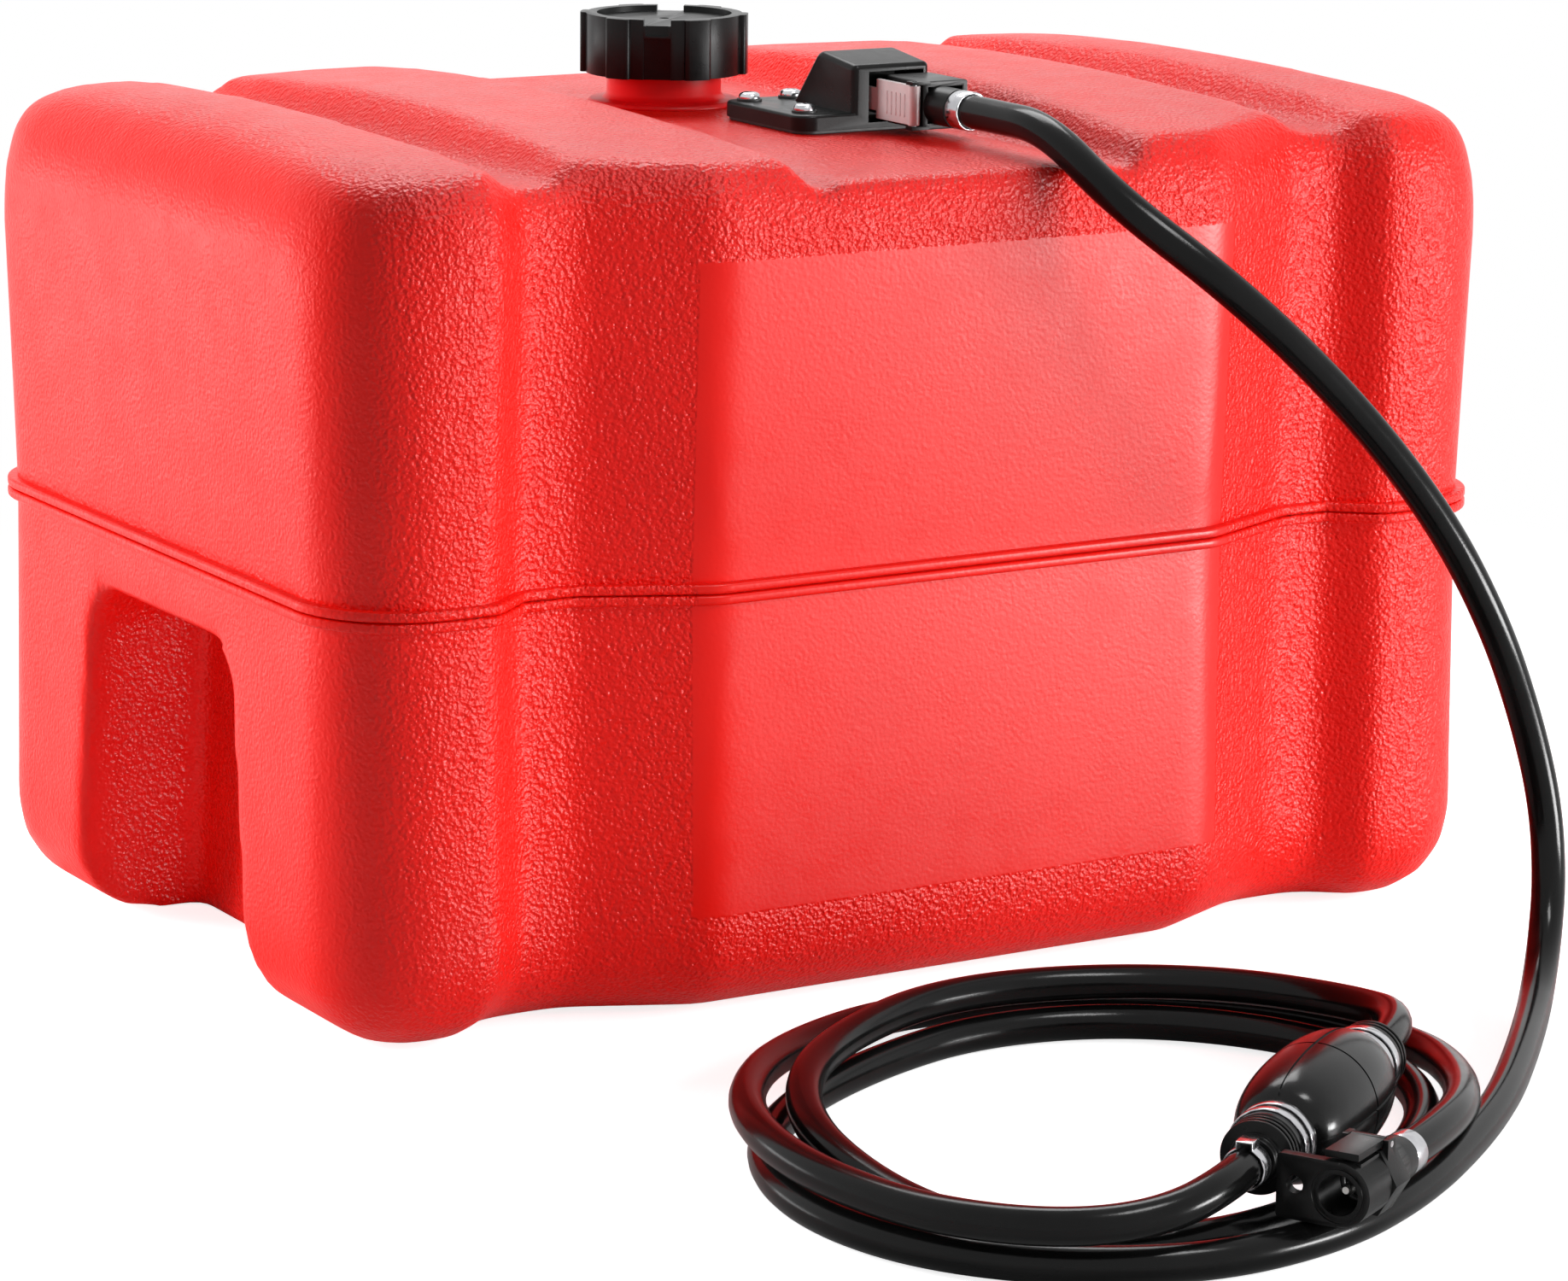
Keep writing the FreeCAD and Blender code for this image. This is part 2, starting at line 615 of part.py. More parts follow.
def build_tank():
    outside = tank_form(0.0)
    fuel_space = tank_form(WALL)
    low = SEAM_HEIGHT - SEAM_LIP_THICKNESS
    high = SEAM_HEIGHT + SEAM_LIP_THICKNESS
    reach = TANK_LENGTH
    under = block(-reach, reach, -reach, reach, -FAR, SEAM_HEIGHT)
    over = block(-reach, reach, -reach, reach, SEAM_HEIGHT, TANK_CREST + FAR)
    lower = outside.common(under).fuse(flange(low, SEAM_HEIGHT)).cut(fuel_space)
    upper = outside.common(over).fuse(flange(SEAM_HEIGHT, high)).cut(fuel_space)
    inside = PLATEAU_HEIGHT - WALL - PAST
    neck_hole = rod(NECK_SPIGOT_RADIUS + HOLE_CLEARANCE, Vector(0, NECK_Y, inside),
                    Vector(0, NECK_Y, TANK_CREST))
    pickup_hole = rod(PICKUP_BOSS_RADIUS + HOLE_CLEARANCE, Vector(OUTLET_X, PICKUP_Y, inside),
                      Vector(OUTLET_X, PICKUP_Y, TANK_CREST))
    upper = upper.cut([neck_hole, pickup_hole] + [screw_pilot(x, y) for x, y in SCREW_PLACES])
    save("tank_lower_half", lower)
    save("tank_upper_half", upper)


# ---------------------------------------------------------------- filler neck and cap
def upright(profile, centre):
    """Solid of revolution about a vertical axis, from (radius, z) corners."""
    points = [Vector(r, 0, z) for r, z in profile]
    points.append(points[0])
    shape = Part.Face(Part.makePolygon(points)).revolve(Vector(0, 0, 0), Z_AXIS, 360)
    shape.translate(Vector(centre[0], centre[1], 0))
    return shape


def build_neck():
    seat = PLATEAU_HEIGHT
    flange_top = seat + NECK_FLANGE_THICKNESS
    cone_top = flange_top + NECK_CONE_HEIGHT
    low = seat - WALL - SPIGOT_BELOW
    profile = [(NECK_BORE, low), (NECK_SPIGOT_RADIUS, low), (NECK_SPIGOT_RADIUS, seat),
               (NECK_FLANGE_RADIUS, seat),
               (NECK_FLANGE_RADIUS, flange_top - NECK_FLANGE_CHAMFER),
               (NECK_FLANGE_RADIUS - NECK_FLANGE_CHAMFER, flange_top),
               (NECK_FLANGE_RADIUS - NECK_CONE_FOOT, flange_top + NECK_CONE_RISE),
               (NECK_RADIUS + NECK_CONE_HEAD, cone_top),
               (NECK_RADIUS, cone_top + NECK_CONE_RUN_OUT), (NECK_RADIUS, NECK_TOP),
               (NECK_BORE, NECK_TOP)]
    neck = upright(profile, (0, NECK_Y))
    ridge = thread(NECK_RADIUS, False)
    ridge.translate(Vector(0, NECK_Y, NECK_THREAD_START))
    save("filler_neck", neck.fuse(ridge))


def cap_lobes(bottom, top):
    """Grip lobes that stand out from the cap's side."""
    lobes = []
    for i in range(CAP_LOBES):
        turn = (i + 0.5) * 360.0 / CAP_LOBES - 90.0
        sector = Part.makeCylinder(CAP_LOBE_RADIUS, top - bottom, Vector(0, 0, 0), Z_AXIS,
                                   CAP_LOBE_ANGLE)
        sector = sector.cut(rod(CAP_RADIUS - CAP_LOBE_BURY, Vector(0, 0, -PAST), Vector(0, 0, top)))
        corners = [edge for edge in sector.Edges if is_upright_at(edge, CAP_LOBE_RADIUS)]
        sector = sector.makeFillet((CAP_LOBE_RADIUS - CAP_RADIUS) * 0.8, corners)
        sector.rotate(Vector(0, 0, 0), Z_AXIS, turn - CAP_LOBE_ANGLE / 2)
        sector.translate(Vector(0, 0, bottom))
        lobes.append(sector)
    return lobes


def is_upright_at(edge, radius):
    """Whether an edge is vertical and lies at this distance from the Z axis."""
    first = edge.Vertexes[0].Point
    last = edge.Vertexes[-1].Point
    level = Vector(first.x, first.y, 0)
    return abs(first.x - last.x) < TINY and abs(level.Length - radius) < TINY and \
        abs(first.z - last.z) > TINY


def build_cap():
    centre = Vector(0, NECK_Y, 0)
    seal_bottom = NECK_TOP + SEAL_GAP
    ceiling = seal_bottom + SEAL_THICKNESS
    plate_top = ceiling + CAP_PLATE
    bore = NECK_RADIUS + THREAD_HEIGHT + THREAD_CLEARANCE
    seal = pipe(NECK_RADIUS, NECK_BORE + SEAL_INSET, Vector(0, NECK_Y, seal_bottom),
                Vector(0, NECK_Y, ceiling))
    save("cap_seal", seal)

    body = rod(CAP_RADIUS, Vector(0, 0, CAP_BOTTOM), Vector(0, 0, CAP_TOP))
    body = body.fuse(cap_lobes(CAP_BOTTOM, CAP_TOP))
    dish = rod(CAP_RADIUS - CAP_RIM, Vector(0, 0, plate_top), Vector(0, 0, CAP_TOP + PAST))
    hollow = rod(bore, Vector(0, 0, CAP_BOTTOM - PAST), Vector(0, 0, ceiling))
    notch = block(-CAP_NOTCH_WIDTH / 2, CAP_NOTCH_WIDTH / 2, -FAR, FAR, plate_top,
                  CAP_TOP + PAST)
    body = body.cut([dish, hollow, notch])
    slots = []
    for side in (-1, 1):
        y0 = side * (CAP_RADIUS - CAP_SLOT_DEPTH)
        y1 = side * (CAP_LOBE_RADIUS + PAST)
        low, high = min(y0, y1), max(y0, y1)
        bar = CAP_TOP - CAP_SLOT_TOP
        slots.append(block(-CAP_NOTCH_WIDTH / 2, CAP_NOTCH_WIDTH / 2, low, high,
                           CAP_BOTTOM - PAST, bar))
        half = CAP_NOTCH_WIDTH / 2 - CAP_SLOT_STEP
        slots.append(block(-half, half, low, high, bar + CAP_SLOT_BAR, plate_top + PAST))
    vent_hole = rod(VENT_RADIUS, Vector(0, 0, ceiling - PAST), Vector(0, 0, plate_top + PAST))
    body = body.cut(slots + [vent_hole])
    body.rotate(Vector(0, 0, 0), Z_AXIS, CAP_TURN)
    ridge = thread(bore, True)
    ridge.translate(Vector(0, 0, NECK_THREAD_START - THREAD_PITCH / 2))
    body = body.fuse(ridge)
    body.translate(centre)
    save("cap_body", body)
    build_vent(ceiling, plate_top)


def build_vent(ceiling, plate_top):
    """Air inlet valve under the middle of the cap: cage, valve and spring."""
    centre = Vector(0, NECK_Y, 0)
    cage_bottom = ceiling - VENT_CAGE_DEPTH
    cage = rod(VENT_CAGE_RADIUS, Vector(0, 0, cage_bottom), Vector(0, 0, ceiling))
    room = rod(VENT_CAGE_RADIUS - VENT_CAGE_WALL, Vector(0, 0, cage_bottom + VENT_CAGE_WALL),
               Vector(0, 0, ceiling))
    drain = rod(VENT_RADIUS, Vector(0, 0, cage_bottom - PAST), Vector(0, 0, ceiling))
    cage = cage.cut([room, drain])
    cage.translate(centre)
    save("vent_cage", cage)
    head_top = ceiling - VALVE_SEAT_GAP
    head_bottom = head_top - VENT_HEAD_THICKNESS
    valve = rod(VENT_HEAD_RADIUS, Vector(0, 0, head_bottom), Vector(0, 0, head_top))
    stem = rod(VENT_RADIUS - VENT_STEM_CLEARANCE, Vector(0, 0, head_bottom),
               Vector(0, 0, plate_top - VENT_STEM_BELOW_PLATE))
    valve = valve.fuse(stem)
    valve.translate(centre)
    save("vent_valve", valve)
    seat = cage_bottom + VENT_CAGE_WALL
    spring = coil(VENT_SPRING_RADIUS, head_bottom - seat, VENT_SPRING_TURNS)
    spring.translate(centre + Vector(0, 0, seat))
    save("vent_spring", spring)


# ---------------------------------------------------------------- outlet fitting
def fitting_outline(inset):
    """Plan of the fitting's base, moved inwards by inset."""
    corners = [(FITTING_LEFT, FITTING_FRONT, FITTING_CORNER),
               (FITTING_RIGHT, FITTING_FRONT, FITTING_CORNER),
               (FITTING_RIGHT, FITTING_BACK, FITTING_CORNER),
               (FITTING_LEFT, FITTING_BACK, FITTING_CORNER)]
    return moved_outline(corners, inset)


def plate_bottom():
    return PLATEAU_HEIGHT + FITTING_SEAL


def plate_top():
    return plate_bottom() + FITTING_PLATE


def screw_seat():
    return plate_top() + WASHER_THICKNESS


def screw_pilot(x, y):
    """Hole in the tank that a screw's thread bites into."""
    return rod(SCREW_SHANK_RADIUS + THREAD_FIT, Vector(x, y, screw_seat() - SCREW_LENGTH - PAST),
               Vector(x, y, PLATEAU_HEIGHT + PAST))


def screw_hole(x, y):
    """Clear hole for a screw through the fitting and its seal."""
    return rod(SCREW_SHANK_RADIUS + HOLE_CLEARANCE, Vector(x, y, PLATEAU_HEIGHT - PAST),
               Vector(x, y, plate_top() + PAST))


def pocket_back():
    return FITTING_FRONT + POCKET_DEPTH


def build_fitting():
    axis = Vector(OUTLET_X, PICKUP_Y, 0)
    holes = [screw_hole(x, y) for x, y in SCREW_PLACES]
    seal = prism(fitting_outline(FITTING_SEAL_INSET), FITTING_SEAL)
    seal.translate(Vector(0, 0, PLATEAU_HEIGHT))
    seal_hole = rod(PICKUP_BOSS_RADIUS + HOLE_CLEARANCE,
                    axis + Vector(0, 0, PLATEAU_HEIGHT - PAST),
                    axis + Vector(0, 0, plate_bottom() + PAST))
    save("fitting_seal", seal.cut(holes + [seal_hole]))

    plate = prism(fitting_outline(0.0), FITTING_PLATE)
    plate.translate(Vector(0, 0, plate_bottom()))
    rim = [edge for edge in plate.Edges if edge.BoundBox.ZMin > plate_top() - TINY]
    plate = plate.makeFillet(FITTING_PLATE_ROUNDING, rim)
    profile = [(FITTING_FRONT, plate_bottom(), 0), (HOOD_BACK_FOOT_Y, plate_bottom(), 0),
               (HOOD_BACK_FOOT_Y, plate_top() + HOOD_BACK_EDGE, 0),
               (HOOD_BACK_TOP_Y, HOOD_BACK_TOP, HOOD_CROWN_RADIUS),
               (FITTING_FRONT, HOOD_FRONT_TOP, HOOD_LIP_RADIUS)]
    hood = along_x(prism(profile, HOOD_RIGHT - HOOD_LEFT))
    hood.translate(Vector(HOOD_LEFT, 0, 0))
    shoulders = [edge for edge in hood.Edges if is_hood_shoulder(edge)]
    hood = hood.makeFillet(HOOD_ROUNDING, shoulders)
    boss_low = PLATEAU_HEIGHT - WALL - PICKUP_BOSS_BELOW
    boss = rod(PICKUP_BOSS_RADIUS, axis + Vector(0, 0, boss_low), axis + Vector(0, 0, plate_top()))
    pocket = block(POCKET_LEFT, POCKET_RIGHT, FITTING_FRONT - PAST, pocket_back(),
                   POCKET_BOTTOM, POCKET_TOP)
    catch = block(POCKET_LEFT - LATCH_HOOK - LATCH_SIDE_GAP, POCKET_LEFT + PAST,
                  LATCH_TIP_Y - LATCH_HOOK_LENGTH - 2 * LATCH_SIDE_GAP,
                  LATCH_TIP_Y + CATCH_CLEARANCE, OUTLET_Z - LATCH_ARM_HALF - CATCH_CLEARANCE,
                  OUTLET_Z + LATCH_ARM_HALF + CATCH_CLEARANCE)
    below = axis + Vector(0, 0, boss_low - PAST)
    channel = rod(FUEL_CHANNEL_RADIUS, below, axis + Vector(0, 0, OUTLET_Z))
    socket = rod(PICKUP_TUBE_RADIUS, below, axis + Vector(0, 0, boss_low + PICKUP_SOCKET))
    shank_end = pocket_back() + SPIGOT_SHANK
    shank = rod(SPIGOT_SHANK_RADIUS + THREAD_FIT,
                Vector(OUTLET_X, pocket_back() - PAST, OUTLET_Z),
                Vector(OUTLET_X, shank_end, OUTLET_Z))
    cross = rod(FUEL_CHANNEL_RADIUS, Vector(OUTLET_X, pocket_back(), OUTLET_Z),
                Vector(OUTLET_X, PICKUP_Y, OUTLET_Z))
    openings = [pocket, catch, channel, socket, shank, cross]
    save("fitting_housing", plate.fuse([hood, boss]).cut(holes + openings))

    tube_low = WALL + STRAINER_FLOOR_GAP + STRAINER_HEIGHT - STRAINER_GRIP
    tube = pipe(PICKUP_TUBE_RADIUS, PICKUP_TUBE_BORE, axis + Vector(0, 0, tube_low),
                axis + Vector(0, 0, boss_low + PICKUP_SOCKET))
    save("pickup_tube", tube)
    build_strainer(axis)
    build_screws()
    build_spigot()


def is_hood_shoulder(edge):
    """Whether an edge of the hood runs along one of its two sides, above the plate."""
    box = edge.BoundBox
    return box.XLength < TINY and box.ZMin > plate_top() + HOOD_BACK_EDGE / 2


def build_strainer(axis):
    """Slotted cup around the foot of the pickup tube."""
    low = WALL + STRAINER_FLOOR_GAP
    high = low + STRAINER_HEIGHT
    cup = rod(STRAINER_RADIUS, Vector(0, 0, low), Vector(0, 0, high))
    room = rod(STRAINER_RADIUS - STRAINER_WALL, Vector(0, 0, low + STRAINER_WALL),
               Vector(0, 0, high - STRAINER_WALL))
    hole = rod(PICKUP_TUBE_RADIUS, Vector(0, 0, high - STRAINER_GRIP), Vector(0, 0, high + PAST))
    slots = []
    for i in range(STRAINER_SLOTS):
        slot = block(0, STRAINER_RADIUS + PAST, -STRAINER_SLOT_WIDTH / 2, STRAINER_SLOT_WIDTH / 2,
                     low + STRAINER_SLOT_FOOT, high - STRAINER_SLOT_HEAD)
        slot.rotate(Vector(0, 0, 0), Z_AXIS, i * 360.0 / STRAINER_SLOTS)
        slots.append(slot)
    strainer = cup.cut([room, hole] + slots)
    strainer.translate(axis)
    save("pickup_strainer", strainer)


def build_screws():
    """Pan head cross recess screws and their washers."""
    screws = []
    washers = []
    for x, y in SCREW_PLACES:
        seat = Vector(x, y, screw_seat())
        head = Part.makeCylinder(SCREW_HEAD_RADIUS, SCREW_HEAD_HEIGHT, seat)
        rim = [edge for edge in head.Edges if edge.BoundBox.ZMin > screw_seat() + TINY]
        head = head.makeFillet(SCREW_HEAD_ROUNDING, rim)
        arm = SCREW_RECESS_HALF
        half = SCREW_RECESS_WIDTH / 2
        floor = screw_seat() + SCREW_RECESS_FLOOR
        above = screw_seat() + SCREW_HEAD_HEIGHT + PAST
        recess = [block(x - arm, x + arm, y - half, y + half, floor, above),
                  block(x - half, x + half, y - arm, y + arm, floor, above)]
        shank = rod(SCREW_SHANK_RADIUS, seat - Vector(0, 0, SCREW_LENGTH - SCREW_TIP), seat)
        tip = Part.makeCone(SCREW_TIP_RADIUS, SCREW_SHANK_RADIUS, SCREW_TIP,
                            seat - Vector(0, 0, SCREW_LENGTH))
        screws.append(head.cut(recess).fuse([shank, tip]).removeSplitter())
        washers.append(pipe(WASHER_RADIUS, SCREW_SHANK_RADIUS + HOLE_CLEARANCE,
                            Vector(x, y, plate_top()), seat))
    save("fitting_screws", Part.makeCompound(screws))
    save("screw_washers", Part.makeCompound(washers))


def build_spigot():
    """Outlet spigot in the hood, its seal ring, check valve and spring."""
    back = pocket_back()
    start = Vector(OUTLET_X, back, OUTLET_Z)
    profile = [(-SPIGOT_SHANK, SPIGOT_BORE), (-SPIGOT_SHANK, SPIGOT_SHANK_RADIUS),
               (0, SPIGOT_SHANK_RADIUS), (0, SPIGOT_FLANGE_RADIUS),
               (SPIGOT_FLANGE, SPIGOT_FLANGE_RADIUS), (SPIGOT_FLANGE, SPIGOT_RADIUS),
               (SPIGOT_LENGTH - SPIGOT_CHAMFER, SPIGOT_RADIUS),
               (SPIGOT_LENGTH, SPIGOT_RADIUS - SPIGOT_CHAMFER),
               (SPIGOT_LENGTH, SPIGOT_BORE)]
    groove_middle = SEAL_RING_PLACE
    half_groove = SEAL_RING_SECTION + SEAL_GROOVE_CLEARANCE
    groove = turned([(groove_middle - half_groove, SEAL_GROOVE_RADIUS),
                     (groove_middle - half_groove, SPIGOT_RADIUS + PAST),
                     (groove_middle + half_groove, SPIGOT_RADIUS + PAST),
                     (groove_middle + half_groove, SEAL_GROOVE_RADIUS)])
    front = Vector(0, -1, 0)
    save("outlet_spigot", placed(turned(profile).cut(groove), start, front))
    ring = Part.makeTorus(SEAL_GROOVE_RADIUS + SEAL_RING_SECTION, SEAL_RING_SECTION,
                          Vector(groove_middle, 0, 0), X_AXIS)
    save("spigot_seal_ring", placed(ring, start, front))
    valve = rod(SPIGOT_BORE - VALVE_CLEARANCE, Vector(SPIGOT_LENGTH - VALVE_LENGTH, 0, 0),
                Vector(SPIGOT_LENGTH, 0, 0))
    save("outlet_check_valve", placed(valve, start, front))
    save("outlet_check_spring", placed(valve_spring(SPIGOT_LENGTH - VALVE_LENGTH), start, front))


def valve_spring(length):
    """Spring that lies along +X from 0 to a valve's back."""
    radius = SPIGOT_BORE - VALVE_CLEARANCE - VALVE_SPRING_INSET
    return spring_on_x(coil(radius, length, VALVE_SPRING_TURNS))


# ---------------------------------------------------------------- connector on the fitting
def build_connector():
    nose_y = pocket_back() - SPIGOT_FLANGE - PLUG_GAP
    centre = (OUTLET_X, OUTLET_Z)
    nose = rod(PLUG_RADIUS, Vector(centre[0], nose_y, centre[1]),
               Vector(centre[0], CONNECTOR_SHOULDER, centre[1]))
    head = block(CONNECTOR_LEFT, CONNECTOR_RIGHT, CONNECTOR_END, CONNECTOR_SHOULDER,
                 CONNECTOR_BOTTOM, CONNECTOR_TOP)
    length = CONNECTOR_SHOULDER - CONNECTOR_END
    long_edges = [edge for edge in head.Edges if edge.BoundBox.YLength > length / 2]
    head = head.makeFillet(CONNECTOR_ROUNDING, long_edges)
    ears = []
    for low, high in ((CONNECTOR_BOTTOM, LATCH_BOTTOM - LATCH_SIDE_GAP),
                      (LATCH_TOP + LATCH_SIDE_GAP, CONNECTOR_TOP)):
        ears.append(block(latch_pivot().x - LATCH_KNUCKLE_RADIUS, CONNECTOR_LEFT + LATCH_EAR_ROOT,
                          LATCH_PIVOT_Y - LATCH_KNUCKLE_RADIUS,
                          LATCH_PIVOT_Y + LATCH_KNUCKLE_RADIUS, low, high))
    opening = block(CONNECTOR_LEFT + CONNECTOR_WALL, CONNECTOR_RIGHT - CONNECTOR_WALL,
                    CONNECTOR_END - PAST, CONNECTOR_END + CONNECTOR_OPEN_DEPTH,
                    CONNECTOR_BOTTOM + CONNECTOR_WALL, CONNECTOR_TOP - CONNECTOR_WALL)
    collar = rod(COLLAR_RADIUS, Vector(centre[0], COLLAR_END, centre[1]),
                 Vector(centre[0], CONNECTOR_END + CONNECTOR_OPEN_DEPTH + PAST, centre[1]))
    barb = barb_shape(Vector(centre[0], COLLAR_END, centre[1]), Vector(0, -1, 0))
    bore_end = nose_y - PLUG_BORE_DEPTH
    bore = rod(PLUG_BORE, Vector(centre[0], nose_y + PAST, centre[1]),
               Vector(centre[0], bore_end, centre[1]))
    channel = rod(FUEL_BORE, Vector(centre[0], bore_end + PAST, centre[1]),
                  Vector(centre[0], COLLAR_END - BARB_LENGTH - PAST, centre[1]))
    seat = rod(LATCH_SPRING_RADIUS + SPRING_SIDE_GAP,
               Vector(LATCH_OUTER, LATCH_SPRING_Y, OUTLET_Z),
               Vector(CONNECTOR_LEFT + LATCH_SPRING_SEAT, LATCH_SPRING_Y, OUTLET_Z))
    pin_hole = rod(LATCH_PIN_RADIUS, latch_pivot() + Vector(0, 0, CONNECTOR_BOTTOM - PAST),
                   latch_pivot() + Vector(0, 0, CONNECTOR_TOP + PAST))
    body = nose.fuse([head] + ears).cut(opening).fuse([collar, barb])
    save("connector_body", body.cut([bore, channel, seat, pin_hole]))
    pin = rod(LATCH_PIN_RADIUS, latch_pivot() + Vector(0, 0, CONNECTOR_BOTTOM + LATCH_PIN_SHORT),
              latch_pivot() + Vector(0, 0, CONNECTOR_TOP - LATCH_PIN_SHORT))
    save("latch_pin", pin)
    build_latch()


def latch_pivot():
    return Vector(LATCH_OUTER + LATCH_PIVOT_INSET, LATCH_PIVOT_Y, 0)


def build_latch():
    """Pressed pad with an arm and a hook, hinged on the upright pin."""
    pad = block(LATCH_OUTER, LATCH_OUTER + LATCH_THICKNESS, LATCH_PIVOT_Y,
                LATCH_PIVOT_Y + LATCH_LENGTH, LATCH_BOTTOM, LATCH_TOP)
    knuckle = rod(LATCH_KNUCKLE_RADIUS, latch_pivot() + Vector(0, 0, LATCH_BOTTOM),
                  latch_pivot() + Vector(0, 0, LATCH_TOP))
    arm = block(LATCH_OUTER, LATCH_OUTER + LATCH_ARM_THICKNESS, LATCH_PIVOT_Y + LATCH_LENGTH,
                LATCH_TIP_Y, OUTLET_Z - LATCH_ARM_HALF, OUTLET_Z + LATCH_ARM_HALF)
    hook = block(POCKET_LEFT - LATCH_HOOK, LATCH_OUTER + LATCH_ARM_THICKNESS,
                 LATCH_TIP_Y - LATCH_HOOK_LENGTH, LATCH_TIP_Y,
                 OUTLET_Z - LATCH_ARM_HALF, OUTLET_Z + LATCH_ARM_HALF)
    pin_hole = rod(LATCH_PIN_RADIUS + LATCH_PIN_FIT,
                   latch_pivot() + Vector(0, 0, LATCH_BOTTOM - PAST),
                   latch_pivot() + Vector(0, 0, LATCH_TOP + PAST))
    save("connector_latch", pad.fuse([knuckle, arm, hook]).cut(pin_hole))
    inner = LATCH_OUTER + LATCH_THICKNESS
    room = CONNECTOR_LEFT + LATCH_SPRING_SEAT - inner
    spring = spring_on_x(coil(LATCH_SPRING_RADIUS - SPRING_WIRE, room, LATCH_SPRING_TURNS))
    save("latch_spring", placed(spring, Vector(inner, LATCH_SPRING_Y, OUTLET_Z), X_AXIS))


def spring_on_x(spring):
    """Lays a spring from the Z axis onto the X axis."""
    laid = spring.copy()
    laid.rotate(Vector(0, 0, 0), Y_AXIS, 90)
    return laid


def barb_shape(start, direction):
    """Plain barb that a hose is pushed over."""
    profile = [(-PAST, 0), (-PAST, BARB_RADIUS), (BARB_LENGTH - BARB_TIP, BARB_RADIUS),
               (BARB_LENGTH, BARB_RADIUS - BARB_TIP_STEP), (BARB_LENGTH, 0)]
    return placed(turned(profile), start, direction)


# ---------------------------------------------------------------- fuel line
def smooth_path(corners):
    """Straight runs joined by arcs as large as the two runs at each corner allow."""
    points = [Vector(*corner) for corner in corners]
    edges = []
    radii = []
    last = points[0]
    for before, here, after in zip(points, points[1:], points[2:]):
        back = before - here
        ahead = after - here
        shorter = min(back.Length, ahead.Length)
        turn = math.pi - back.getAngle(ahead)
        reach = ARC_SHARE * shorter
        radius = reach / math.tan(turn / 2)
        back.normalize()
        ahead.normalize()
        start = here + back * reach
        end = here + ahead * reach
        inward = (back + ahead).normalize()
        middle = here + inward * (radius / math.cos(turn / 2) - radius)
        edges.append(Part.LineSegment(last, start).toShape())
        edges.append(Part.Arc(start, middle, end).toShape())
        radii.append(radius)
        last = end
    edges.append(Part.LineSegment(last, points[-1]).toShape())
    return Part.Wire(edges), radii


def hose(name, corners):
    """Hose along a route, bored at both ends for the barbs it is pushed over."""
    path, radii = smooth_path(corners)
    start = Vector(*corners[0])
    heading = Vector(*corners[1]) - start
    end = Vector(*corners[-1])
    ending = Vector(*corners[-2]) - end
    section = Part.Wire(Part.makeCircle(HOSE_RADIUS, start, heading))
    tube = path.makePipeShell([section], True, False)
    full = math.pi * HOSE_RADIUS ** 2 * path.Length
    print(f"{name}: length {path.Length:.1f}, volume {tube.Volume:.0f} of {full:.0f}")
    print("  radii " + " ".join(f"{radius:.0f}" for radius in radii))
    bores = []
    for point, direction in ((start, heading), (end, ending)):
        along = Vector(direction).normalize()
        bores.append(rod(HOSE_BORE, point - along * PAST, point + along * (BARB_LENGTH + BARB_ROOM)))
    save(name, tube.cut(bores))


def ferrule(point, direction):
    """Thin metal ring crimped over a hose end."""
    axis = Vector(direction).normalize()
    start = point + axis * FERRULE_PLACE
    inner = HOSE_RADIUS + FERRULE_GAP
    return pipe(inner + FERRULE_WALL, inner, start, start + axis * FERRULE_LENGTH)


def build_hoses():
    hose("hose_tank_to_bulb", ROUTE_TANK_TO_BULB)
    hose("hose_bulb_to_engine", ROUTE_BULB_TO_ENGINE)
    first = Vector(*ROUTE_TANK_TO_BULB[0])
    last = Vector(*ROUTE_BULB_TO_ENGINE[-1])
    save("tank_ferrule", ferrule(first, Vector(*ROUTE_TANK_TO_BULB[1]) - first))
    save("engine_ferrule", ferrule(last, Vector(*ROUTE_BULB_TO_ENGINE[-2]) - last))
    save("hose_clamp", hose_clamp())


def hose_clamp():
    """Pinch clamp with a folded ear around the hose at the bulb's outlet."""
    start = Vector(*ROUTE_BULB_TO_ENGINE[0])
    heading = Vector(*ROUTE_BULB_TO_ENGINE[1]) - start
    inner = HOSE_RADIUS + FERRULE_GAP
    outer = inner + CLAMP_WALL
    ring = rod(outer, Vector(CLAMP_PLACE, 0, 0), Vector(CLAMP_PLACE + CLAMP_WIDTH, 0, 0))
    ear = block(CLAMP_PLACE, CLAMP_PLACE + CLAMP_WIDTH, -CLAMP_EAR_HALF, CLAMP_EAR_HALF, 0,
                outer + CLAMP_EAR_HEIGHT)
    fold = block(CLAMP_PLACE - PAST, CLAMP_PLACE + CLAMP_WIDTH + PAST,
                 CLAMP_WALL - CLAMP_EAR_HALF, CLAMP_EAR_HALF - CLAMP_WALL, 0,
                 outer + CLAMP_EAR_HEIGHT - CLAMP_WALL)
    bore = rod(inner, Vector(0, 0, 0), Vector(CLAMP_PLACE + CLAMP_WIDTH + PAST, 0, 0))
    return placed(ring.fuse(ear).cut([bore, fold]), start, heading)


# ---------------------------------------------------------------- primer bulb
def bulb_ends():
    """Where the bulb's two hoses end, and the bulb's own direction."""
    inlet = Vector(*ROUTE_TANK_TO_BULB[-1])
    outlet = Vector(*ROUTE_BULB_TO_ENGINE[0])
    return inlet, outlet


def egg(radius, length, necks, neck_radius):
    """Turned outline of the bulb along X: two necks and a rounded middle."""
    points = [(-length / 2 - necks, neck_radius)]
    for i in range(BULB_STEPS + 1):
        angle = math.pi * i / BULB_STEPS
        x = -length / 2 * math.cos(angle)
        r = neck_radius + (radius - neck_radius) * math.sin(angle) ** BULB_FULLNESS
        points.append((x, r))
    points.append((length / 2 + necks, neck_radius))
    return points


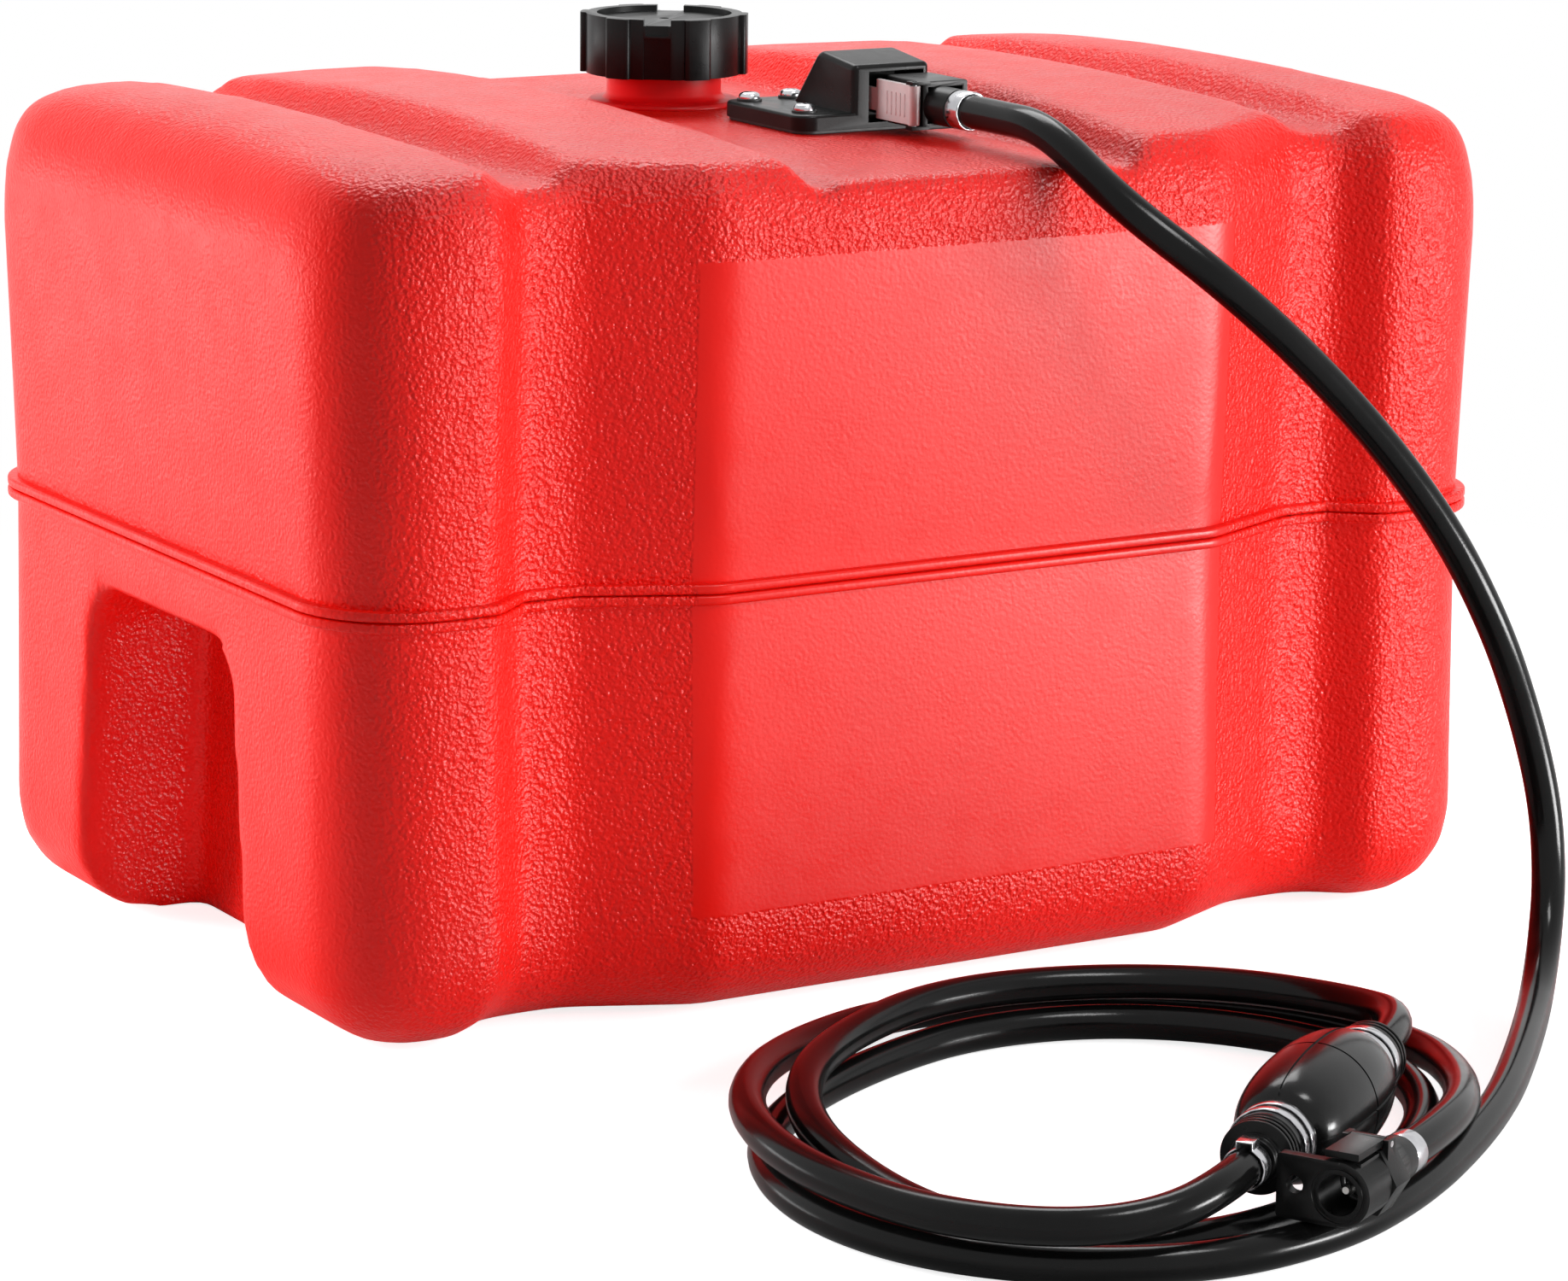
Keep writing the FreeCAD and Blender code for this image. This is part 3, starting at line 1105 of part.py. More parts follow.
def build_bulb():
    inlet, outlet = bulb_ends()
    direction = outlet - inlet
    middle = (inlet + outlet) * 0.5
    half = direction.Length / 2
    outer = egg(BULB_RADIUS, BULB_BODY_LENGTH, BULB_NECK_LENGTH, BULB_NECK_RADIUS)
    stem = BULB_STEM_RADIUS + BULB_FIT
    inner = egg(BULB_RADIUS - BULB_WALL, BULB_BODY_LENGTH - BULB_BODY_SHORTER,
                BULB_NECK_LENGTH + BULB_NECK_OPEN, stem)
    end = BULB_BODY_LENGTH / 2 + BULB_NECK_LENGTH
    skin = turned([(-end, 0)] + outer + [(end, 0)])
    space = turned([(-end, 0)] + inner + [(end, 0)])
    save("primer_bulb", placed(skin.cut(space), middle, direction))
    bands = []
    for side in (-1, 1):
        for step in (0, 1):
            start = side * (BULB_BODY_LENGTH / 2 + BAND_PLACE + step * BAND_SPACING)
            band = pipe(BULB_NECK_RADIUS + BAND_WALL, BULB_NECK_RADIUS, Vector(start, 0, 0),
                        Vector(start + side * BAND_WIDTH, 0, 0))
            bands.append(placed(band, middle, direction))
    save("bulb_bands", Part.makeCompound(bands))
    build_bulb_end("inlet", middle, direction, end, half)
    build_bulb_end("outlet", middle, direction, end, half)


def build_bulb_end(name, middle, direction, end, half):
    """Valve fitting in one neck of the bulb, with its ribbed collar, barb and disc."""
    flow = Vector(direction).normalize()
    outward = flow * (-1 if name == "inlet" else 1)
    collar = half - end
    rib_pitch = (collar - BULB_NOSE_LENGTH) / BULB_RIBS
    profile = [(-BULB_NECK_LENGTH, 0), (-BULB_NECK_LENGTH, BULB_STEM_RADIUS),
               (0, BULB_STEM_RADIUS)]
    for i in range(BULB_RIBS):
        x = i * rib_pitch
        edge = x + rib_pitch * BULB_RIB_SHARE
        root = BULB_COLLAR_RADIUS - BULB_RIB_DEPTH - i * BULB_RIB_TAPER
        profile += [(x, BULB_RIB_RADIUS), (edge, BULB_RIB_RADIUS), (edge, root),
                    (x + rib_pitch, root)]
    nose = HOSE_RADIUS + BULB_NOSE_STEP
    profile += [(collar - BULB_NOSE_LENGTH, nose), (collar, nose - BULB_NOSE_CHAMFER),
                (collar, 0)]
    origin = middle + outward * end
    body = placed(turned(profile), origin, outward)
    barb = barb_shape(origin + outward * collar, outward)
    inner_face = origin - outward * BULB_NECK_LENGTH
    outer_face = origin + outward * (collar + BARB_LENGTH)
    channel = rod(FUEL_BORE, inner_face - outward, outer_face + outward)
    seat_depth = DISC_THICKNESS + DISC_TRAVEL + DISC_ROOM
    disc_radius = BULB_STEM_RADIUS - DISC_INSET
    chamber_middle = origin - outward * (BULB_NECK_LENGTH / 2)
    chamber_start = chamber_middle - flow * (seat_depth / 2)
    chamber = rod(disc_radius + DISC_CLEARANCE, chamber_start,
                  chamber_start + flow * seat_depth)
    save("bulb_" + name + "_fitting", body.fuse(barb).cut([channel, chamber]))
    disc_start = chamber_start + flow * VALVE_SEAT_GAP
    disc = rod(disc_radius, disc_start, disc_start + flow * DISC_THICKNESS)
    save("bulb_" + name + "_disc", disc)


# ---------------------------------------------------------------- engine connector
def engine_place(shape):
    """Moves a shape drawn along +X from the engine connector's face to its place."""
    last = Vector(*ROUTE_BULB_TO_ENGINE[-1])
    return placed(shape, ENGINE_FACE, last - ENGINE_FACE)


def build_engine_connector():
    r = ENGINE_BARREL_RADIUS
    length = ENGINE_LENGTH
    shoulder = length - ENGINE_SHOULDER
    barrel = turned([(0, 0), (0, r - ENGINE_FACE_CHAMFER), (ENGINE_FACE_CHAMFER, r),
                     (shoulder, r),
                     (shoulder + ENGINE_SHOULDER_RUN, r - ENGINE_SHOULDER_STEP),
                     (length - ENGINE_NECK_LENGTH, ENGINE_NECK_RADIUS),
                     (length, ENGINE_NECK_RADIUS), (length, 0)])
    tab = block(0, ENGINE_TAB_THICKNESS, 0, ENGINE_TAB_LENGTH, -r, r)
    corners = [edge for edge in tab.Edges if is_tab_corner(edge)]
    tab = tab.makeFillet(ENGINE_TAB_ROUNDING, corners)
    ears = []
    for side in (-1, 1):
        inner = side * (ENGINE_LEVER_WIDTH / 2 + ENGINE_LEVER_SIDE_GAP)
        outer = inner + side * ENGINE_EAR_WIDTH
        ears.append(block(lever_pivot().x - ENGINE_EAR_HALF, lever_pivot().x + ENGINE_EAR_HALF,
                          min(inner, outer), max(inner, outer), r - ENGINE_EAR_ROOT,
                          r + ENGINE_EAR_TOP))
    half = ENGINE_LEVER_WIDTH / 2
    bed = block(ENGINE_TAB_THICKNESS, length - ENGINE_BED_END, -half, half,
                r - ENGINE_BED_BOTTOM, r - ENGINE_BED_TOP)
    barb = barb_shape(Vector(length, 0, 0), X_AXIS)
    body = barrel.fuse([facets(), tab, bed, barb] + ears).cut(engine_openings())
    save("engine_connector_body", engine_place(body))
    build_engine_valve()
    build_engine_lever()


def engine_openings():
    """Socket, passages and seats that are cut into the engine connector."""
    r = ENGINE_BARREL_RADIUS
    length = ENGINE_LENGTH
    depth = ENGINE_SOCKET_DEPTH
    socket = rod(ENGINE_SOCKET_RADIUS, Vector(-PAST, 0, 0), Vector(depth, 0, 0))
    groove = turned([(-PAST, ENGINE_GROOVE_INNER), (-PAST, ENGINE_GROOVE_OUTER),
                     (ENGINE_GROOVE_DEPTH, ENGINE_GROOVE_OUTER),
                     (ENGINE_GROOVE_DEPTH, ENGINE_GROOVE_INNER)])
    guide = rod(ENGINE_TAB_HOLE, Vector(-PAST, ENGINE_TAB_HOLE_PLACE, ENGINE_TAB_HOLE_RISE),
                Vector(ENGINE_TAB_THICKNESS + PAST, ENGINE_TAB_HOLE_PLACE, ENGINE_TAB_HOLE_RISE))
    valve_room = rod(ENGINE_PIN_RADIUS + VALVE_CLEARANCE, Vector(depth - PAST, 0, 0),
                     Vector(depth + ENGINE_VALVE_ROOM, 0, 0))
    channel = rod(ENGINE_CHANNEL_RADIUS, Vector(depth, 0, 0),
                  Vector(length + BARB_LENGTH + PAST, 0, 0))
    pivot = lever_pivot()
    side = Vector(0, ENGINE_LEVER_WIDTH, 0)
    pin_hole = rod(LATCH_PIN_RADIUS, pivot - side, pivot + side)
    half = Vector(0, ENGINE_LEVER_WIDTH / 2 + ENGINE_LEVER_SIDE_GAP, 0)
    knuckle_seat = rod(ENGINE_KNUCKLE_RADIUS + ENGINE_LEVER_SIDE_GAP, pivot - half, pivot + half)
    spring_x = length - ENGINE_LEVER_SPRING_PLACE
    spring_seat = rod(LATCH_SPRING_RADIUS + SPRING_SIDE_GAP,
                      Vector(spring_x, 0, r - ENGINE_LEVER_SPRING_SEAT),
                      Vector(spring_x, 0, r + PAST))
    return [socket, groove, guide, valve_room, channel, pin_hole, knuckle_seat, spring_seat]


def lever_pivot():
    return Vector(ENGINE_LENGTH - ENGINE_PIVOT_PLACE, 0, ENGINE_BARREL_RADIUS + ENGINE_PIVOT_RISE)


def facets():
    """Six-sided band around the back of the barrel, as on a moulded nut."""
    corner = ENGINE_BARREL_RADIUS / math.cos(math.pi / ENGINE_FACETS)
    corners = []
    for i in range(ENGINE_FACETS):
        angle = 2 * math.pi * i / ENGINE_FACETS
        corners.append((corner * math.cos(angle), corner * math.sin(angle), 0))
    shape = along_x(prism(corners, ENGINE_FACET_LENGTH))
    shape.translate(Vector(ENGINE_LENGTH - ENGINE_FACET_PLACE, 0, 0))
    return shape


def is_tab_corner(edge):
    """Whether an edge of the tab is one of its two free corners."""
    box = edge.BoundBox
    return box.YLength < TINY and box.ZLength < TINY and box.YMin > ENGINE_TAB_LENGTH - TINY


def build_engine_valve():
    """Centre pin of the socket with its spring, and the socket's seal."""
    tip = ENGINE_SOCKET_DEPTH - ENGINE_PIN_REACH
    foot = ENGINE_SOCKET_DEPTH + ENGINE_PIN_TAIL
    pin = turned([(tip, 0), (tip, ENGINE_PIN_NOSE_RADIUS), (tip + ENGINE_PIN_NOSE, ENGINE_PIN_RADIUS),
                  (foot, ENGINE_PIN_RADIUS), (foot, 0)])
    save("engine_valve_pin", engine_place(pin))
    room = ENGINE_SOCKET_DEPTH + ENGINE_VALVE_ROOM - foot
    radius = ENGINE_PIN_RADIUS - ENGINE_VALVE_SPRING_INSET
    spring = spring_on_x(coil(radius, room, ENGINE_VALVE_SPRING_TURNS))
    spring.translate(Vector(foot, 0, 0))
    save("engine_valve_spring", engine_place(spring))
    ring = Part.makeTorus(ENGINE_SOCKET_RADIUS - ENGINE_SEAL_SECTION, ENGINE_SEAL_SECTION,
                          Vector(ENGINE_SOCKET_DEPTH - ENGINE_SEAL_PLACE, 0, 0), X_AXIS)
    save("engine_seal_ring", engine_place(ring))


def build_engine_lever():
    """Rocking lever on top of the engine connector, its pin and spring."""
    r = ENGINE_BARREL_RADIUS
    pivot = lever_pivot()
    half = ENGINE_LEVER_WIDTH / 2
    low = r + ENGINE_LEVER_GAP
    lever = block(ENGINE_LEVER_FRONT, pivot.x + ENGINE_LEVER_TAIL, -half, half, low,
                  low + ENGINE_LEVER_THICKNESS)
    side = Vector(0, half, 0)
    knuckle = rod(ENGINE_KNUCKLE_RADIUS, pivot - side, pivot + side)
    bore = rod(LATCH_PIN_RADIUS + LATCH_PIN_FIT, pivot - side * 2, pivot + side * 2)
    save("engine_lever", engine_place(lever.fuse(knuckle).cut(bore)))
    reach = Vector(0, half + ENGINE_LEVER_SIDE_GAP + ENGINE_EAR_WIDTH, 0)
    save("engine_lever_pin", engine_place(rod(LATCH_PIN_RADIUS, pivot - reach, pivot + reach)))
    bottom = r - ENGINE_LEVER_SPRING_SEAT
    spring = coil(LATCH_SPRING_RADIUS - SPRING_WIRE, low - bottom, LATCH_SPRING_TURNS)
    spring.translate(Vector(ENGINE_LENGTH - ENGINE_LEVER_SPRING_PLACE, 0, bottom))
    save("engine_lever_spring", engine_place(spring))


build_tank()
build_neck()
build_cap()
build_fitting()
build_connector()
build_hoses()
build_bulb()
build_engine_connector()
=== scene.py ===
import json
import math
import bpy
import numpy as np
from mathutils import Matrix, Vector

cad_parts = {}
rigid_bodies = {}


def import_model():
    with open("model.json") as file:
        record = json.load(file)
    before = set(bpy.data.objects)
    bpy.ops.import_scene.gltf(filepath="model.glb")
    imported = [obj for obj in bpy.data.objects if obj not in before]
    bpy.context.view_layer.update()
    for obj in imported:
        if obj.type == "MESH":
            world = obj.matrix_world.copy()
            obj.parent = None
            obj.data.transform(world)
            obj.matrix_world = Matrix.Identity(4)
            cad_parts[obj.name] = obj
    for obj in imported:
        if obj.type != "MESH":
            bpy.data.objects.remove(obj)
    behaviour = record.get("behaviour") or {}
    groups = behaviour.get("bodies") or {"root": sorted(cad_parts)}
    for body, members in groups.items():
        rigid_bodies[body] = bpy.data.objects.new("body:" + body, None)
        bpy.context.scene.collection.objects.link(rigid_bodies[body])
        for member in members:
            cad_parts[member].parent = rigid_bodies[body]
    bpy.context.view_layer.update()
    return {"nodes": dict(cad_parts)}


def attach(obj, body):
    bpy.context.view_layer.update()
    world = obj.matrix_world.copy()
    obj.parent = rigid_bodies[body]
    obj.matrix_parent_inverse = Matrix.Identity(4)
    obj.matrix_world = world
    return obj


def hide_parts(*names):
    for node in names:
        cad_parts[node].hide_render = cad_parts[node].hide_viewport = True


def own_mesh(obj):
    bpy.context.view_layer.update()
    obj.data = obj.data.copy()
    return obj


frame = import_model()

# ---------------------------------------------------------------- view
# A long lens looks down on the tank's left front corner, so that the front, one end and
# the top all show.
VIEW_TURN = math.radians(-31.19)
VIEW_RISE = math.radians(12.69)
VIEW_ROLL = math.radians(0.66)
VIEW_PLACE = (-1.0723, -1.8085, 0.5753)
LENS = 122.11
SENSOR = 36.0
FAR_CLIP = 50.0

bpy.ops.object.camera_add()
camera = bpy.context.object
camera.name = "studio_camera"
camera.data.lens = LENS
camera.data.sensor_width = SENSOR
camera.data.sensor_fit = "HORIZONTAL"
camera.data.clip_end = FAR_CLIP
camera.matrix_world = (Matrix.Translation(VIEW_PLACE) @ Matrix.Rotation(VIEW_TURN, 4, "Z")
                       @ Matrix.Rotation(math.pi / 2 - VIEW_RISE, 4, "X")
                       @ Matrix.Rotation(VIEW_ROLL, 4, "Z"))
bpy.context.scene.camera = camera
bpy.context.scene.view_settings.view_transform = "Standard"

# ---------------------------------------------------------------- fuel hoses
# Smooth black rubber fuel hose, 8 mm bore and 13 mm outside. The long piece runs from the
# tank's outlet down to the deck and round in a loose coil to the primer bulb. The short
# piece leaves the bulb, follows the coil once more and ends in the engine connector.
HOSE_RADIUS = 0.0065
LONG_HOSE = [
    (38, -100, 326.5), (38, -124, 326.5), (37, -162, 326.5), (42, -200, 304), (75, -235, 271),
    (119, -248, 228), (154, -258, 184), (178, -263, 142), (195, -263, 104), (204, -266, 70),
    (203, -272, 41), (192, -284, 20), (174, -303, 9), (151, -328, 6.5), (117, -363.5, 6.5),
    (79, -401, 6.5), (37, -435, 6.5), (-8, -466, 6.5), (-58, -489, 6.5), (-112, -493, 6.5),
    (-160, -470, 6.5), (-193, -427, 6.5), (-199, -373, 6.5), (-180, -321, 6.5),
    (-142, -283, 6.5), (-92, -256, 6.5), (-38, -240, 6.5), (16, -253, 6.5),
    (55, -292, 6.5), (71, -345, 6.5), (51, -396, 6.5), (7, -437, 6.5), (-45, -465, 6.5),
    (-102, -476, 6.5), (-148, -454, 6.5), (-170, -402, 7.5), (-174, -346, 17),
    (-149, -297, 21.5), (-106, -261, 21.5), (-54, -238, 21.5), (2, -243, 20.5),
    (49, -272, 20.5), (73, -318, 22), (64.9, -365.4, 28.5), (29, -391, 28.5)]
SHORT_HOSE = [
    (-79, -468, 28.5), (-98.95, -482.22, 28.5), (-125, -489, 24.5), (-151, -483, 22),
    (-175, -463, 21), (-193, -430, 20.5), (-201, -378, 21.5), (-187, -322, 21),
    (-152, -272, 17), (-107, -231, 10), (-57, -207, 6.5), (-2, -213, 6.5),
    (46, -241, 6.5), (82, -284, 6.5), (93, -338, 7), (67, -391, 14.5), (32, -438, 22.5),
    (-2.1, -464.75, 24.6), (-28.5, -479, 24.6)]


def hose(name, route):
    """Smooth round curve along a list of corners in millimetres. Each point carries the
    hose's radius, so that the curve's own box is no larger than the hose."""
    curve = bpy.data.curves.new(name, "CURVE")
    curve.dimensions = "3D"
    spline = curve.splines.new("NURBS")
    spline.points.add(len(route) - 1)
    for point, (x, y, z) in zip(spline.points, route):
        point.co = (x / 1000, y / 1000, z / 1000, 1.0)
        point.radius = HOSE_RADIUS
    spline.order_u = 3
    spline.use_endpoint_u = True
    spline.resolution_u = 10
    curve.bevel_depth = 1.0
    curve.bevel_resolution = 8
    curve.use_fill_caps = True
    piece = bpy.data.objects.new(name, curve)
    bpy.context.collection.objects.link(piece)
    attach(piece, "tank")
    return piece


def ramp(tree, source, low, high, low_out, high_out):
    """Map Range node from a value to a value."""
    node = tree.nodes.new("ShaderNodeMapRange")
    node.inputs["From Min"].default_value = low
    node.inputs["From Max"].default_value = high
    node.inputs["To Min"].default_value = low_out
    node.inputs["To Max"].default_value = high_out
    tree.links.new(source, node.inputs["Value"])
    return node.outputs["Result"]


def noise(tree, place, scale, detail, roughness=0.5):
    """Noise texture on the piece's own coordinates."""
    node = tree.nodes.new("ShaderNodeTexNoise")
    node.inputs["Scale"].default_value = scale
    node.inputs["Detail"].default_value = detail
    node.inputs["Roughness"].default_value = roughness
    tree.links.new(place, node.inputs["Vector"])
    return node.outputs["Fac"]


def mottled(tree, place, scale, detail, dark, light):
    """Base colour that drifts between two shades in soft clouds."""
    mix = tree.nodes.new("ShaderNodeMix")
    mix.data_type = "RGBA"
    mix.inputs["A"].default_value = (*dark, 1.0)
    mix.inputs["B"].default_value = (*light, 1.0)
    cloud = noise(tree, place, scale, detail)
    tree.links.new(ramp(tree, cloud, 0.35, 0.65, 0.0, 1.0), mix.inputs["Factor"])
    tree.links.new(mix.outputs["Result"], tree.nodes["Principled BSDF"].inputs["Base Color"])


def raised(tree, height, depth):
    """Surface relief of a given depth from a height."""
    bump = tree.nodes.new("ShaderNodeBump")
    bump.inputs["Strength"].default_value = 1.0
    bump.inputs["Distance"].default_value = depth
    tree.links.new(height, bump.inputs["Height"])
    tree.links.new(bump.outputs["Normal"], tree.nodes["Principled BSDF"].inputs["Normal"])


def finish_material(name, dark, light, rough_low, rough_high, mottle, grain, grain_depth,
                    metallic=0.0, ior=1.5, scratches=0.0):
    """Moulded or metal finish: mottled colour, uneven gloss, fine grain and scuffs. The
    mottle and the grain are noise scales, so larger numbers make them finer."""
    material = bpy.data.materials.new(name)
    material.use_nodes = True
    tree = material.node_tree
    shader = tree.nodes["Principled BSDF"]
    shader.inputs["Metallic"].default_value = metallic
    shader.inputs["IOR"].default_value = ior
    place = tree.nodes.new("ShaderNodeTexCoord").outputs["Object"]
    mottled(tree, place, mottle, 4.0, dark, light)
    wear = noise(tree, place, mottle * 4.0, 5.0, 0.6)
    tree.links.new(ramp(tree, wear, 0.3, 0.7, rough_low, rough_high), shader.inputs["Roughness"])
    if scratches > 0:
        stretch = tree.nodes.new("ShaderNodeMapping")
        stretch.inputs["Scale"].default_value = (1.0, 1.0, scratches)
        tree.links.new(place, stretch.inputs["Vector"])
        place = stretch.outputs["Vector"]
    raised(tree, noise(tree, place, grain, 2.0), grain_depth)
    return material


hose_rubber = finish_material("hose_rubber", (0.003, 0.003, 0.003), (0.006, 0.006, 0.006),
                              0.15, 0.21, mottle=25.0, grain=1500.0, grain_depth=0.00002,
                              ior=1.25)
long_hose = hose("fuel_hose_long", LONG_HOSE)
short_hose = hose("fuel_hose_short", SHORT_HOSE)
for piece, node in ((long_hose, "hose_tank_to_bulb"), (short_hose, "hose_bulb_to_engine")):
    piece.data.materials.append(hose_rubber)
    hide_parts(node)

# ---------------------------------------------------------------- studio
# Pale floor that fades out round the object, a white surround and soft lamps. What the
# camera sees past the object is plain white, and the floor keeps the object's shadow.
# The floor glows for the camera only, and the surround lights the object only a little.
FLOOR_HALF = 1.5
FLOOR_DROP = 0.0004
FLOOR_GLOW = 0.80
FADE_MIDDLE = (0.0, 0.15, 0.0)
FADE_FROM = 0.45
FADE_TO = 0.95
WORLD_FILL = 0.20

bpy.ops.mesh.primitive_plane_add(size=2 * FLOOR_HALF, location=(0, 0, -FLOOR_DROP))
floor = bpy.context.object
floor.name = "studio_floor"
floor_white = bpy.data.materials.new("floor_white")
floor_white.use_nodes = True
tree = floor_white.node_tree
shader = tree.nodes["Principled BSDF"]
shader.inputs["Base Color"].default_value = (0.9, 0.9, 0.9, 1.0)
shader.inputs["Roughness"].default_value = 0.7
shader.inputs["Specular IOR Level"].default_value = 0.2
shader.inputs["Emission Color"].default_value = (1.0, 1.0, 1.0, 1.0)
rays = tree.nodes.new("ShaderNodeLightPath")
tree.links.new(ramp(tree, rays.outputs["Is Camera Ray"], 0.0, 1.0, 0.0, FLOOR_GLOW),
               shader.inputs["Emission Strength"])
middle = tree.nodes.new("ShaderNodeMapping")
middle.inputs["Location"].default_value = FADE_MIDDLE
tree.links.new(tree.nodes.new("ShaderNodeTexCoord").outputs["Object"], middle.inputs["Vector"])
reach = tree.nodes.new("ShaderNodeVectorMath")
reach.operation = "LENGTH"
tree.links.new(middle.outputs["Vector"], reach.inputs[0])
clear = tree.nodes.new("ShaderNodeBsdfTransparent")
fade = tree.nodes.new("ShaderNodeMixShader")
tree.links.new(ramp(tree, reach.outputs["Value"], FADE_FROM, FADE_TO, 0.0, 1.0),
               fade.inputs["Fac"])
tree.links.new(shader.outputs["BSDF"], fade.inputs[1])
tree.links.new(clear.outputs["BSDF"], fade.inputs[2])
tree.links.new(fade.outputs["Shader"], tree.nodes["Material Output"].inputs["Surface"])
floor.data.materials.append(floor_white)

world = bpy.data.worlds.new("studio")
bpy.context.scene.world = world
world.use_nodes = True
tree = world.node_tree
backdrop = tree.nodes["Background"]
backdrop.inputs["Color"].default_value = (1.0, 1.0, 1.0, 1.0)
rays = tree.nodes.new("ShaderNodeLightPath")
white = rays.outputs["Is Camera Ray"]
for kind in ("Is Transmission Ray", "Is Glossy Ray"):
    either = tree.nodes.new("ShaderNodeMath")
    either.operation = "MAXIMUM"
    tree.links.new(white, either.inputs[0])
    tree.links.new(rays.outputs[kind], either.inputs[1])
    white = either.outputs["Value"]
tree.links.new(ramp(tree, white, 0.0, 1.0, WORLD_FILL, 1.0), backdrop.inputs["Strength"])


def lamp(name, place, aim, width, height, watts):
    """Soft rectangular lamp that points at a place."""
    bpy.ops.object.light_add(type="AREA", location=place)
    light = bpy.context.object
    light.name = name
    light.data.shape = "RECTANGLE"
    light.data.size = width
    light.data.size_y = height
    light.data.energy = watts
    turn = (Vector(aim) - Vector(place)).to_track_quat("-Z", "Y")
    light.rotation_euler = turn.to_euler()
    return light


# The two side lamps light the colours and stay out of the gloss.
for name, place, aim, width, height, watts in (
        ("lamp_left", (-1.7, 1.5, 0.55), (-0.15, 0, 0.17), 0.9, 1.2, 68.0),
        ("lamp_right", (1.7, -1.8, 0.6), (0, 0, 0.17), 1.7, 1.7, 78.0)):
    lamp(name, place, aim, width, height, watts).visible_glossy = False
lamp("lamp_back", (0.5, 1.2, 2.0), (0, 0, 0.3), 1.4, 0.9, 30.0)

# Lamps that only show in gloss, so they put streaks on the rubber and the plastic and leave
# the colours as they are. The two low ones stay under the level of the tank's top, and the
# front one makes no shadow of the hose.
for name, place, aim, width, height, watts, shadow in (
        ("gleam_top", (0.25, -1.1, 1.9), (0.05, -0.4, 0.0), 0.7, 0.35, 18.0, True),
        ("gleam_left", (-1.5, 1.75, 0.06), (-0.2, 0, 0.17), 1.1, 0.4, 5.0, True),
        ("gleam_front", (1.75, -1.9, 0.06), (0.1, -0.17, 0.17), 0.9, 0.44, 60.0, False)):
    gleam = lamp(name, place, aim, width, height, watts)
    gleam.visible_diffuse = False
    gleam.data.use_shadow = shadow

# ---------------------------------------------------------------- tank
# Red polyethylene, blown in two halves that are welded at the flange. The mould is grained
# all over, apart from the flat panel on the front, and only lightly on the two ends.
WALL = 0.004
SEAM = 0.165
FLANGE = 0.004                  # thickness of each half's flange at the seam
FLANGE_REACH = 0.0045           # everything this near the seam belongs to the flange
CREST = 0.3299                  # just under the top of the ridges
VOXEL = 0.0035
SOFTENING = 7
SHOULDER_STEPS = 7              # the shoulders are softened more with each step up and out
SHOULDER_FOOT = 0.272
SHOULDER_RISE = 0.004
SHOULDER_INNER = 0.200
SHOULDER_OUTWARD = 0.005
SHOULDER_PASSES = 10
PANEL_HALF = 0.118
PANEL_LOW = 0.043
PANEL_HIGH = 0.287
PANEL_EDGE = 0.0008
PANEL_RAISE = 0.9               # as a share of the grain's depth
PANEL_GRAIN = 0.06              # share of the grain that is left on the panel
FRONT_DEPTH = (-0.155, -0.150)  # the front face lies before the first of these
END_DEPTH = (0.238, 0.252)      # the grain fades over this distance from the middle
END_GRAIN = 0.35                # share of the grain that is left on the two ends
GRAIN_DEPTH = 0.0008
LIP_DEPTH = 0.0075
LIP_HEIGHT = 0.94               # as a share of the flange's thickness
LIP_ROUNDING = 0.0011
# Holes in the top for the neck, the outlet fitting and its four screws: x, y and radius.
# Their walls lie within these radii, and they are cut anew a little inside them.
HOLE_MARGIN = 0.0002
HOLES = [(0.0, 0.062, 0.0222), (0.038, -0.024, 0.0142), (0.003, -0.001, 0.0026),
         (0.003, -0.043, 0.0026), (0.023, 0.0005, 0.0026), (0.0495, 0.0005, 0.0026)]


def lone(piece):
    """Makes one piece the only selected and active object."""
    bpy.ops.object.select_all(action="DESELECT")
    piece.select_set(True)
    bpy.context.view_layer.objects.active = piece


def joined(pieces, base):
    """Joins pieces into one of them."""
    bpy.ops.object.select_all(action="DESELECT")
    for piece in pieces:
        piece.select_set(True)
    bpy.context.view_layer.objects.active = base
    bpy.ops.object.join()
    return base


def copy_of(nodes, name):
    """One merged mesh made from copies of CAD nodes."""
    copies = []
    for node in nodes:
        copy = frame["nodes"][node].copy()
        copy.data = copy.data.copy()
        copy.parent = None
        copy.matrix_world = Matrix.Identity(4)
        bpy.context.collection.objects.link(copy)
        copies.append(copy)
    lone(copies[0])
    piece = joined(copies, copies[0]) if len(copies) > 1 else copies[0]
    piece.name = name
    piece.data.name = name
    piece.data.materials.clear()
    if piece.data.has_custom_normals:
        bpy.ops.mesh.customdata_custom_splitnormals_clear()
    bpy.ops.object.mode_set(mode="EDIT")
    bpy.ops.mesh.select_all(action="SELECT")
    bpy.ops.mesh.remove_doubles(threshold=1e-5)
    bpy.ops.object.mode_set(mode="OBJECT")
    return piece


